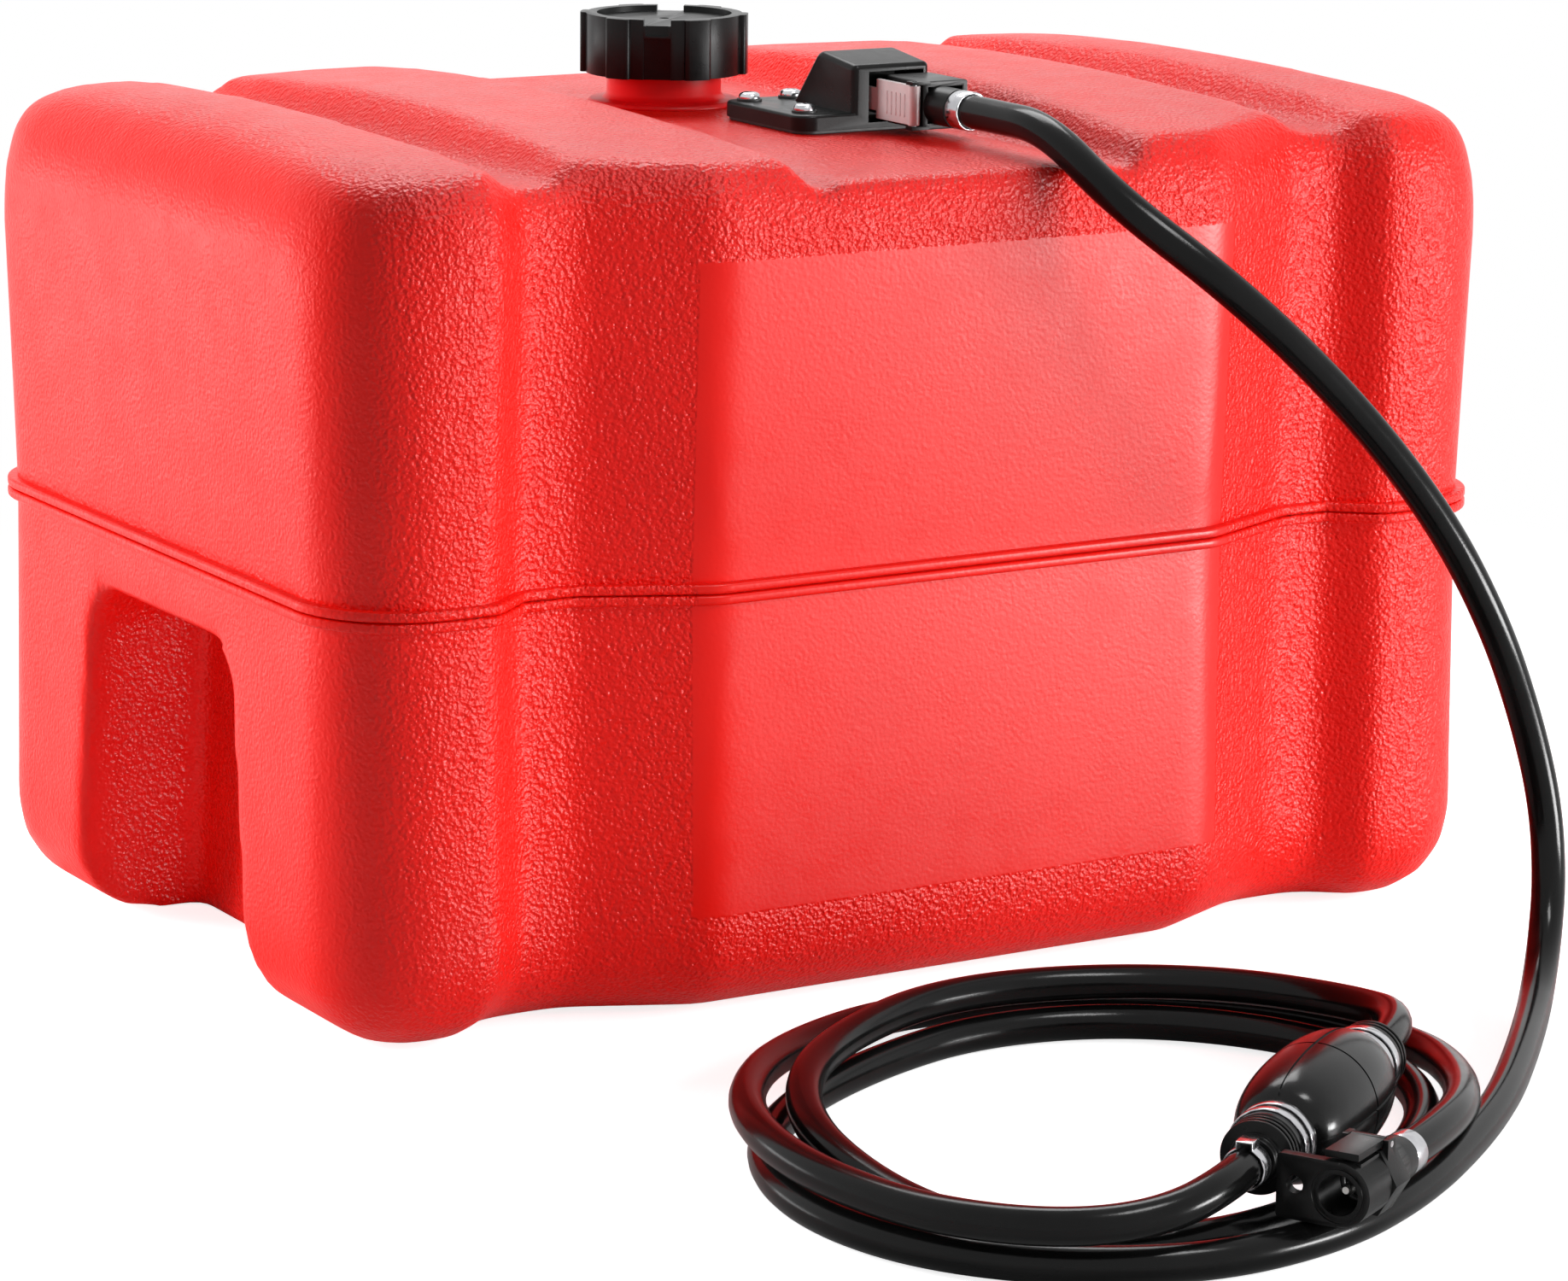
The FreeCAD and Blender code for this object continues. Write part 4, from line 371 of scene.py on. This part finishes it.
def pick(piece, kind, test):
    """Goes into edit mode with the faces, edges or vertices that pass a test selected. The
    test is given the middles and normals of faces, the middles and directions of edges,
    or the places of vertices."""
    if bpy.context.mode != "OBJECT":
        bpy.ops.object.mode_set(mode="OBJECT")
    lone(piece)
    mesh = piece.data
    kinds = ("VERT", "EDGE", "FACE")
    bpy.context.tool_settings.mesh_select_mode = [kind == k for k in kinds]
    places = np.empty(len(mesh.vertices) * 3)
    mesh.vertices.foreach_get("co", places)
    places = places.reshape(-1, 3)
    if kind == "VERT":
        chosen = test(places)
    elif kind == "EDGE":
        ends = np.empty(len(mesh.edges) * 2, dtype=int)
        mesh.edges.foreach_get("vertices", ends)
        ends = places[ends.reshape(-1, 2)]
        chosen = test(ends.mean(axis=1), ends[:, 1] - ends[:, 0])
    else:
        middles = np.empty(len(mesh.polygons) * 3)
        mesh.polygons.foreach_get("center", middles)
        normals = np.empty(len(mesh.polygons) * 3)
        mesh.polygons.foreach_get("normal", normals)
        chosen = test(middles.reshape(-1, 3), normals.reshape(-1, 3))
    for items in (mesh.vertices, mesh.edges, mesh.polygons):
        items.foreach_set("select", np.zeros(len(items), dtype=bool))
    items = {"VERT": mesh.vertices, "EDGE": mesh.edges, "FACE": mesh.polygons}[kind]
    items.foreach_set("select", np.ascontiguousarray(chosen, dtype=bool))
    bpy.ops.object.mode_set(mode="EDIT")


def modify(piece, kind, **settings):
    """Adds a modifier and applies it."""
    if bpy.context.mode != "OBJECT":
        bpy.ops.object.mode_set(mode="OBJECT")
    lone(piece)
    modifier = piece.modifiers.new(kind.lower(), kind)
    for key, value in settings.items():
        setattr(modifier, key, value)
    bpy.ops.object.modifier_apply(modifier=modifier.name)


def deliver(piece, body, material, replaced, angle=35.0):
    """Shades a finished piece, gives it its material and hands it to its body in place of
    the CAD nodes it was made after."""
    if bpy.context.mode != "OBJECT":
        bpy.ops.object.mode_set(mode="OBJECT")
    lone(piece)
    bpy.ops.object.transform_apply(location=True, rotation=True, scale=True)
    bpy.ops.object.shade_smooth_by_angle(angle=math.radians(angle))
    piece.data.materials.clear()
    piece.data.materials.append(material)
    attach(piece, body)
    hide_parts(*replaced)


def near_axis(middles, x, y, radius):
    """Which places lie within a radius of an upright axis."""
    return np.hypot(middles[:, 0] - x, middles[:, 1] - y) < radius


def tank_red():
    """Grained red polyethylene with a smooth label panel and nearly smooth ends."""
    material = bpy.data.materials.new("tank_red")
    material.use_nodes = True
    tree = material.node_tree
    shader = tree.nodes["Principled BSDF"]
    shader.inputs["Specular IOR Level"].default_value = 0.26
    place = tree.nodes.new("ShaderNodeTexCoord").outputs["Object"]
    mottled(tree, place, 9.0, 3.0, (0.82, 0.005, 0.002), (0.90, 0.008, 0.003))
    wear = noise(tree, place, 60.0, 4.0)
    tree.links.new(ramp(tree, wear, 0.3, 0.7, 0.30, 0.38), shader.inputs["Roughness"])
    axes = tree.nodes.new("ShaderNodeSeparateXYZ")
    tree.links.new(place, axes.inputs["Vector"])

    def maths(operation, first, second):
        """Math node on two values."""
        node = tree.nodes.new("ShaderNodeMath")
        node.operation = operation
        for slot, value in zip(node.inputs, (first, second)):
            if isinstance(value, float):
                slot.default_value = value
            else:
                tree.links.new(value, slot)
        return node.outputs["Value"]

    across = maths("ABSOLUTE", axes.outputs["X"], 0.0)
    upward = axes.outputs["Z"]
    inside_x = ramp(tree, across, PANEL_HALF, PANEL_HALF + PANEL_EDGE, 1.0, 0.0)
    inside_low = ramp(tree, upward, PANEL_LOW - PANEL_EDGE, PANEL_LOW, 0.0, 1.0)
    inside_high = ramp(tree, upward, PANEL_HIGH, PANEL_HIGH + PANEL_EDGE, 1.0, 0.0)
    front = ramp(tree, axes.outputs["Y"], *FRONT_DEPTH, 1.0, 0.0)
    panel = maths("MULTIPLY", maths("MULTIPLY", inside_x, inside_low),
                  maths("MULTIPLY", inside_high, front))
    ends = ramp(tree, across, *END_DEPTH, 1.0, END_GRAIN)
    grained = maths("MULTIPLY", ramp(tree, panel, 0.0, 1.0, 1.0, PANEL_GRAIN), ends)
    cells = tree.nodes.new("ShaderNodeTexVoronoi")
    cells.feature = "SMOOTH_F1"
    cells.inputs["Scale"].default_value = 680.0
    tree.links.new(place, cells.inputs["Vector"])
    pebbles = maths("ADD", maths("MULTIPLY", cells.outputs["Distance"], 0.8),
                    maths("MULTIPLY", noise(tree, place, 560.0, 3.0), 0.9))
    height = maths("ADD", maths("MULTIPLY", pebbles, grained),
                   maths("MULTIPLY", panel, PANEL_RAISE))
    raised(tree, height, GRAIN_DEPTH)
    return material


# The outside skin of both halves without the flange and the holes' walls. The gap at the
# seam is bridged, the holes in the top are closed, and the whole is made even and soft.
red = tank_red()
shell = copy_of(["tank_lower_half", "tank_upper_half"], "tank_shell")
pick(shell, "FACE", lambda m, n: np.abs(m[:, 2] - SEAM) < FLANGE_REACH)
bpy.ops.mesh.delete(type="FACE")
pick(shell, "FACE", lambda m, n: (m[:, 2] > 0.29) & (np.abs(n[:, 2]) < 0.3)
     & np.any([near_axis(m, *hole) for hole in HOLES], axis=0))
bpy.ops.mesh.delete(type="FACE")
pick(shell, "VERT", lambda p: (p[:, 2] < 0.0001) | (p[:, 2] > CREST))
bpy.ops.mesh.select_linked()
bpy.ops.mesh.select_all(action="INVERT")
bpy.ops.mesh.delete(type="VERT")
bpy.ops.mesh.select_mode(type="EDGE")
bpy.ops.mesh.select_all(action="SELECT")
bpy.ops.mesh.region_to_loop()
bpy.ops.object.mode_set(mode="OBJECT")
open_edges = [edge.index for edge in shell.data.edges if edge.select]
for low, high in ((0.16, 0.17), (0.3, 0.34)):
    pick(shell, "EDGE", lambda m, d: (m[:, 2] > low) & (m[:, 2] < high)
         & np.isin(np.arange(len(m)), open_edges))
    if low < SEAM:
        bpy.ops.mesh.bridge_edge_loops()
    else:
        bpy.ops.mesh.fill_holes(sides=0)
    bpy.ops.object.mode_set(mode="OBJECT")
bpy.ops.object.mode_set(mode="EDIT")
bpy.ops.mesh.select_all(action="SELECT")
bpy.ops.mesh.normals_make_consistent(inside=False)
modify(shell, "REMESH", mode="VOXEL", voxel_size=VOXEL)
modify(shell, "SMOOTH", factor=0.5, iterations=SOFTENING)
for step in range(SHOULDER_STEPS):
    pick(shell, "VERT", lambda p: (p[:, 2] > SHOULDER_FOOT + SHOULDER_RISE * step)
         & (np.abs(p[:, 0]) > SHOULDER_INNER + SHOULDER_OUTWARD * step))
    bpy.ops.mesh.vertices_smooth(factor=0.5, repeat=SHOULDER_PASSES)
    bpy.ops.object.mode_set(mode="OBJECT")


def seam_lip(node, low, high):
    """Ring along the outside of the flange, made from one half's outer flange faces. It is
    a little lower than the flange, so that a groove shows between the two lips."""
    lip = copy_of([node], node + "_lip")
    pick(lip, "VERT", lambda p: (p[:, 2] > low - 0.0001) & (p[:, 2] < high + 0.0001))
    bpy.ops.mesh.select_mode(type="FACE")
    bpy.ops.mesh.select_all(action="INVERT")
    bpy.ops.mesh.delete(type="FACE")
    bpy.ops.object.mode_set(mode="OBJECT")
    pick(lip, "FACE", lambda m, n: np.abs(n[:, 2]) > 0.5)
    bpy.ops.mesh.delete(type="FACE")
    bpy.ops.object.mode_set(mode="OBJECT")
    reach = max(abs(v.co.x) for v in lip.data.vertices)
    pick(lip, "VERT", lambda p: np.abs(p[:, 0]) > reach - 0.0001)
    bpy.ops.mesh.select_linked()
    bpy.ops.mesh.select_all(action="INVERT")
    bpy.ops.mesh.delete(type="VERT")
    bpy.ops.mesh.select_all(action="SELECT")
    bpy.ops.mesh.remove_doubles(threshold=0.0004)
    far_side = low if high <= SEAM else high
    bpy.ops.transform.resize(value=(1.0, 1.0, LIP_HEIGHT), center_override=(0, 0, far_side))
    modify(lip, "SOLIDIFY", thickness=LIP_DEPTH, offset=-1.0)
    modify(lip, "BEVEL", width=LIP_ROUNDING, segments=3, limit_method="ANGLE",
           angle_limit=0.9)
    return lip


def tank_half(name, keep_upper, node, low, high):
    """One half of the shell with its wall, its holes and its lip of the seam."""
    half = shell.copy()
    half.data = shell.data.copy()
    half.name = name
    half.data.name = name
    bpy.context.collection.objects.link(half)
    lone(half)
    bpy.ops.object.mode_set(mode="EDIT")
    bpy.ops.mesh.select_all(action="SELECT")
    bpy.ops.mesh.bisect(plane_co=(0, 0, SEAM), plane_no=(0, 0, 1), clear_inner=keep_upper,
                        clear_outer=not keep_upper)
    modify(half, "SOLIDIFY", thickness=WALL, offset=-1.0, use_even_offset=False)
    if keep_upper:
        for x, y, radius in HOLES:
            bpy.ops.mesh.primitive_cylinder_add(radius=radius - HOLE_MARGIN, depth=0.03,
                                                vertices=64, location=(x, y, 0.31))
            cutter = bpy.context.object
            modify(half, "BOOLEAN", object=cutter, operation="DIFFERENCE", solver="EXACT")
            bpy.data.objects.remove(cutter)
    joined([seam_lip(node, low, high), half], half)
    deliver(half, "tank", red, [node], angle=50.0)


tank_half("tank_lower", False, "tank_lower_half", SEAM - FLANGE, SEAM)
tank_half("tank_upper", True, "tank_upper_half", SEAM, SEAM + FLANGE)
bpy.data.objects.remove(shell)

# ---------------------------------------------------------------- filler neck
# Separately moulded neck of the same red plastic, welded over the hole in the tank's top.
# A fillet runs from its flange to its barrel, and its thread is hidden under the cap.
NECK_FILLET_TOP = 0.3188        # only edges below this are rounded
SHARP = math.radians(35.0)


def soften(piece, width, segments=3, test=lambda m, d: True):
    """Rounds the sharp edges of a copied CAD mesh, all or those that pass a test."""
    pick(piece, "FACE", lambda m, n: np.ones(len(m), dtype=bool))
    bpy.ops.mesh.dissolve_limited(angle_limit=0.01)
    bpy.ops.mesh.select_mode(type="EDGE")
    bpy.ops.mesh.select_all(action="DESELECT")
    bpy.ops.mesh.edges_select_sharp(sharpness=SHARP)
    bpy.ops.object.mode_set(mode="OBJECT")
    sharp = np.zeros(len(piece.data.edges), dtype=bool)
    piece.data.edges.foreach_get("select", sharp)
    pick(piece, "EDGE", lambda m, d: sharp & test(m, d))
    bpy.ops.mesh.bevel(offset=width, segments=segments, affect="EDGES", clamp_overlap=True)
    bpy.ops.object.mode_set(mode="OBJECT")


neck = copy_of(["filler_neck"], "filler_neck_red")
soften(neck, 0.0004, test=lambda m, d: m[:, 2] < NECK_FILLET_TOP)
neck_red = finish_material("neck_red", (0.76, 0.003, 0.005), (0.84, 0.005, 0.007), 0.34, 0.42,
                           mottle=30.0, grain=900.0, grain_depth=0.00002, ior=1.25)
deliver(neck, "tank", neck_red, ["filler_neck"])

# ---------------------------------------------------------------- filler cap
# Black moulded nylon cap with six grip lobes, a sunk top and a stop slot at the front and
# the back. It screws onto the neck and holds the vent valve.
CAP_Y = 0.062
CAP_BORE = 0.0262               # inside this only edges above CAP_RIM are rounded
CAP_RIM = 0.3475
moulding = finish_material("black_moulding", (0.004, 0.004, 0.004), (0.008, 0.008, 0.008),
                           0.27, 0.33, mottle=50.0, grain=1400.0, grain_depth=0.00002,
                           ior=1.25)
cap = copy_of(["cap_body"], "filler_cap")
soften(cap, 0.0010, test=lambda m, d: ~near_axis(m, 0.0, CAP_Y, CAP_BORE)
       | (m[:, 2] > CAP_RIM))
deliver(cap, "cap", moulding, ["cap_body"])

# ---------------------------------------------------------------- outlet fitting
# Black nylon moulding screwed to the tank's top over a rubber seal. The hood holds the
# outlet spigot and its check valve, and the pickup tube hangs from it into the tank.
PLATE_FOOT = 0.3155             # only edges above this are rounded
housing = copy_of(["fitting_housing"], "outlet_housing")
soften(housing, 0.0007, test=lambda m, d: m[:, 2] > PLATE_FOOT)
deliver(housing, "tank", moulding, ["fitting_housing"])

nitrile = finish_material("nitrile_rubber", (0.012, 0.012, 0.012), (0.020, 0.020, 0.020),
                          0.45, 0.6, mottle=80.0, grain=1200.0, grain_depth=0.00003)
seal = copy_of(["fitting_seal"], "fitting_gasket")
soften(seal, 0.0003)
deliver(seal, "tank", nitrile, ["fitting_seal"])

# ---------------------------------------------------------------- screws and washers
# Four bright stainless cross-head screws with domed heads, each on a plain dark washer.
# Head and washer are turned once and copied to the plate's four holes.
SCREWS = [(3.0, -1.0, 0.2), (3.0, -43.0, 0.9), (23.0, 0.5, 1.5), (49.5, 0.5, 0.5)]
CROSS_TURN = 0.35
CROSS_SIZE = (0.0044, 0.0009, 0.0026)
CROSS_HEIGHT = 0.3241


def turned(name, outline, steps):
    """Body of revolution about Z from an outline of (radius, height) in millimetres."""
    if bpy.context.mode != "OBJECT":
        bpy.ops.object.mode_set(mode="OBJECT")
    bpy.ops.object.select_all(action="DESELECT")
    bpy.ops.mesh.primitive_plane_add(size=0.001, location=(0, 0, 0))
    piece = bpy.context.object
    piece.name = name
    piece.data.name = name
    bpy.ops.object.mode_set(mode="EDIT")
    bpy.ops.mesh.select_all(action="SELECT")
    bpy.ops.mesh.merge(type="CENTER")
    bpy.ops.mesh.select_mode(type="VERT")
    bpy.ops.mesh.select_all(action="SELECT")
    radius, height = outline[0]
    bpy.ops.transform.translate(value=(radius / 1000, 0, height / 1000))
    for (r0, z0), (r1, z1) in zip(outline, outline[1:]):
        bpy.ops.mesh.extrude_region_move(
            TRANSFORM_OT_translate={"value": ((r1 - r0) / 1000, 0, (z1 - z0) / 1000)})
    bpy.ops.mesh.select_all(action="SELECT")
    bpy.ops.mesh.spin(steps=steps, angle=2 * math.pi, center=(0, 0, 0), axis=(0, 0, 1))
    bpy.ops.mesh.select_all(action="SELECT")
    bpy.ops.mesh.remove_doubles(threshold=1e-6)
    bpy.ops.mesh.normals_make_consistent(inside=False)
    bpy.ops.object.mode_set(mode="OBJECT")
    return piece


bright = finish_material("bright_steel", (0.46, 0.46, 0.48), (0.62, 0.62, 0.64), 0.14, 0.24,
                         metallic=1.0, mottle=120.0, grain=2500.0, grain_depth=0.00001)
head = turned("housing_screws", [
    (0.0, 307.8), (1.2, 307.8), (2.35, 309.0), (2.35, 321.8), (4.2, 321.8), (4.3, 321.9),
    (4.3, 322.6), (4.2, 323.1), (3.9, 323.6), (3.4, 324.0), (2.6, 324.3), (1.6, 324.4),
    (0.0, 324.4)], steps=48)
for turn in (CROSS_TURN, CROSS_TURN + math.pi / 2):
    bpy.ops.mesh.primitive_cube_add(size=1, location=(0, 0, CROSS_HEIGHT),
                                    rotation=(0, 0, turn))
    recess = bpy.context.object
    recess.scale = CROSS_SIZE
    modify(head, "BOOLEAN", object=recess, operation="DIFFERENCE", solver="EXACT")
    bpy.data.objects.remove(recess)
washer = turned("housing_washers", [
    (2.4, 321.0), (4.9, 321.0), (5.0, 321.1), (5.0, 321.7), (4.9, 321.8), (2.4, 321.8),
    (2.4, 321.0)], steps=48)
for first, finish, node in ((head, bright, "fitting_screws"),
                            (washer, nitrile, "screw_washers")):
    copies = []
    for x, y, turn in SCREWS:
        piece = first.copy()
        piece.data = first.data.copy()
        bpy.context.collection.objects.link(piece)
        piece.matrix_world = (Matrix.Translation((x / 1000, y / 1000, 0))
                              @ Matrix.Rotation(turn, 4, "Z"))
        copies.append(piece)
    bpy.data.objects.remove(first)
    whole = joined(copies, copies[0])
    whole.name = node + "_set"
    deliver(whole, "tank", finish, [node], angle=40.0)

# ---------------------------------------------------------------- tank connector
# Black nylon quick connector on the hose, plugged into the hood, with a pale grey latch
# pad on a steel pin at its side; the pad's grey is tinted pink as a painted reflection of the
# red tank. Five small ribs across the pad give the thumb a grip.
RIBS = 5
FIRST_RIB = (0.02648, -0.0785, 0.3262)
RIB_STEP = 0.0032
RIB_SIZE = (0.0006, 0.0012, 0.0090)
connector = copy_of(["connector_body"], "tank_connector")
soften(connector, 0.0004)
deliver(connector, "tank", moulding, ["connector_body"])

latch = copy_of(["connector_latch"], "latch_pad")
soften(latch, 0.0004)
for step in range(RIBS):
    x, y, z = FIRST_RIB
    bpy.ops.mesh.primitive_cube_add(size=1, location=(x, y + RIB_STEP * step, z))
    rib = bpy.context.object
    rib.scale = RIB_SIZE
    modify(rib, "BEVEL", width=0.15, segments=2)
    joined([rib, latch], latch)
# Pale grey pad colour with a pink tint that is a painted reflection of the red tank.
latch_grey_painted_red_reflection = finish_material("latch_grey_painted_red_reflection", (0.50, 0.42, 0.42), (0.58, 0.50, 0.50), 0.35, 0.5,
                             mottle=60.0, grain=900.0, grain_depth=0.00003)
deliver(latch, "latch", latch_grey_painted_red_reflection, ["connector_latch"])

# ---------------------------------------------------------------- ferrules and bands
# Bright steel strip: a ferrule crimped on each hose end, two bands at each neck of the bulb
# and a clamp ring with a folded ear behind the bulb.
for node in ("tank_ferrule", "engine_ferrule", "hose_clamp", "bulb_bands"):
    strip = copy_of([node], node + "_bright")
    soften(strip, 0.00025, segments=2)
    deliver(strip, "tank", bright, [node])

# ---------------------------------------------------------------- primer bulb
# Moulded black rubber bulb with four thin grooves along it, one round its middle and a
# neck at each end, where a barbed black fitting holds the hose.
BULB_MIDDLE = (-0.025, -0.4295, 0.0285)
BULB_ALONG = (-0.8143, -0.5806, 0.0)
BULB_TURNS = 90                 # steps round the bulb, 4 degrees each
GROOVE_TURNS = (4.0, 92.0, 184.0, 272.0)
GROOVE_HALF = 0.00055
GROOVE_DEPTH = 0.0005
NECK_OUTSIDE = 0.0129
SWELLING_HALF = 0.0388
EGG_STEPS = 24
# Outline along the outside from neck to neck, and back through the hollow inside.
egg = [(9.55, -56.0), (12.6, -56.0), (13.0, -55.6), (13.0, -41.0), (13.2, -39.6)]
for step in range(EGG_STEPS + 1):
    angle = math.pi * (0.04 + 0.92 * step / EGG_STEPS)
    egg.append((13.0 + 9.0 * math.sin(angle) ** 0.9, -39.0 * math.cos(angle)))
egg += [(13.2, 39.6), (13.0, 41.0), (13.0, 55.6), (12.6, 56.0), (9.55, 56.0), (9.55, 33.0),
        (17.8, 15.0), (18.5, 0.0), (17.8, -15.0), (9.55, -33.0), (9.55, -56.0)]
bulb = turned("bulb_rubber", egg, steps=BULB_TURNS)


def on_groove(middles, along):
    """Edges of the bulb's outside that lie on one of its grooves. An edge that runs round
    the bulb counts only at its middle."""
    turn = np.arctan2(middles[:, 1], middles[:, 0])
    degrees = np.degrees(turn) % 360.0
    near = np.zeros(len(middles), dtype=bool)
    for place in GROOVE_TURNS:
        near |= np.abs(degrees - place) < 1.0
    length = np.maximum(np.linalg.norm(along, axis=1), 1e-9)
    round_it = np.abs(along[:, 0] * np.sin(turn) - along[:, 1] * np.cos(turn)) / length
    height = np.abs(middles[:, 2])
    outside = ~near_axis(middles, 0.0, 0.0, NECK_OUTSIDE)
    lengthwise = near & (round_it < 0.1) & (height < SWELLING_HALF)
    return outside & (lengthwise | (height < 0.0002))


pick(bulb, "EDGE", on_groove)
bpy.ops.mesh.bevel(offset=GROOVE_HALF, segments=1, affect="EDGES")
bpy.ops.mesh.select_mode(type="FACE")
bpy.ops.mesh.extrude_region_shrink_fatten(TRANSFORM_OT_shrink_fatten={"value": -GROOVE_DEPTH})
bpy.ops.object.mode_set(mode="OBJECT")
bulb.matrix_world = (Matrix.Translation(BULB_MIDDLE)
                     @ Vector(BULB_ALONG).to_track_quat("Z", "Y").to_matrix().to_4x4())
bulb_black = finish_material("bulb_black", (0.004, 0.004, 0.004), (0.008, 0.008, 0.008),
                             0.17, 0.23, mottle=60.0, grain=900.0, grain_depth=0.00002,
                             ior=1.3)
deliver(bulb, "tank", bulb_black, ["primer_bulb"], angle=40.0)

for node in ("bulb_inlet_fitting", "bulb_outlet_fitting"):
    fitting = copy_of([node], node + "_black")
    soften(fitting, 0.0003, segments=2)
    deliver(fitting, "tank", moulding, [node])

# ---------------------------------------------------------------- engine connector
# Black nylon body with a guide tab, a socket for the engine's fuel stem, a sprung centre
# pin and a rocking lever on top. It is clamped on the end of the short hose.
engine = copy_of(["engine_connector_body"], "engine_connector")
soften(engine, 0.0003)
deliver(engine, "tank", moulding, ["engine_connector_body"])
lever = copy_of(["engine_lever"], "engine_rocker")
soften(lever, 0.0004)
deliver(lever, "lever", moulding, ["engine_lever"])

# ---------------------------------------------------------------- inner and small parts
# Valves, pins, seals and the pickup, of steel, aluminium, brass, nickel plate, white nylon,
# black nylon and nitrile rubber. They keep their own shapes and get their finishes.
spring_steel = finish_material("spring_steel", (0.42, 0.42, 0.43), (0.60, 0.60, 0.61), 0.2,
                               0.34, metallic=1.0, mottle=300.0, grain=3000.0,
                               grain_depth=0.00001)
aluminium = finish_material("drawn_aluminium", (0.62, 0.63, 0.65), (0.74, 0.75, 0.77), 0.28,
                            0.42, metallic=1.0, mottle=90.0, grain=1500.0,
                            grain_depth=0.00002, scratches=0.05)
brass = finish_material("turned_brass", (0.60, 0.40, 0.14), (0.72, 0.52, 0.22), 0.18, 0.3,
                        metallic=1.0, mottle=150.0, grain=2500.0, grain_depth=0.00001)
nickel = finish_material("nickel_plate", (0.55, 0.54, 0.52), (0.70, 0.69, 0.67), 0.14, 0.24,
                         metallic=1.0, mottle=200.0, grain=2500.0, grain_depth=0.00001)
strainer_white = finish_material("strainer_white", (0.60, 0.60, 0.57), (0.70, 0.70, 0.67),
                                 0.4, 0.55, mottle=90.0, grain=900.0, grain_depth=0.00004)
for finish, nodes in (
        (spring_steel, ("latch_pin", "engine_lever_pin")),
        (aluminium, ("pickup_tube",)),
        (strainer_white, ("pickup_strainer",)),
        (brass, ("outlet_spigot",)),
        (nickel, ("engine_valve_pin",)),
        (moulding, ("vent_cage", "outlet_check_valve")),
        (nitrile, ("cap_seal", "vent_valve", "spigot_seal_ring", "engine_seal_ring",
                   "bulb_inlet_disc", "bulb_outlet_disc"))):
    for node in nodes:
        inner = frame["nodes"][node]
        inner.data.materials.clear()
        inner.data.materials.append(finish)

# ---------------------------------------------------------------- return springs
# Five small coil springs of stainless wire. Each stands on a seat and pushes back a valve,
# the latch pad or the rocker, and is copied from its CAD node as it stands.
for node, body, joint, axis, seat, closed_share in (
        ("vent_spring", "cap", "vent_open", (0, 0, 1), (0.0, 0.062, 0.3370), 0.74),
        ("outlet_check_spring", "tank", "outlet_check_open", (0, 1, 0),
         (0.038, -0.0340, 0.3265), 0.61),
        ("latch_spring", "tank", "latch_press", (1, 0, 0), (0.0323, -0.072, 0.3265), 0.78),
        ("engine_valve_spring", "tank", "engine_valve_push", (0.879989, 0.474994, 0),
         (-0.042646, -0.486659, 0.0246), 0.61),
        ("engine_lever_spring", "tank", "lever_press", (0, 0, 1),
         (-0.0602, -0.4961, 0.0341), 0.74)):
    spring = copy_of([node], node + "_coil")
    deliver(spring, body, spring_steel, (node,), angle=60)
    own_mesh(spring)
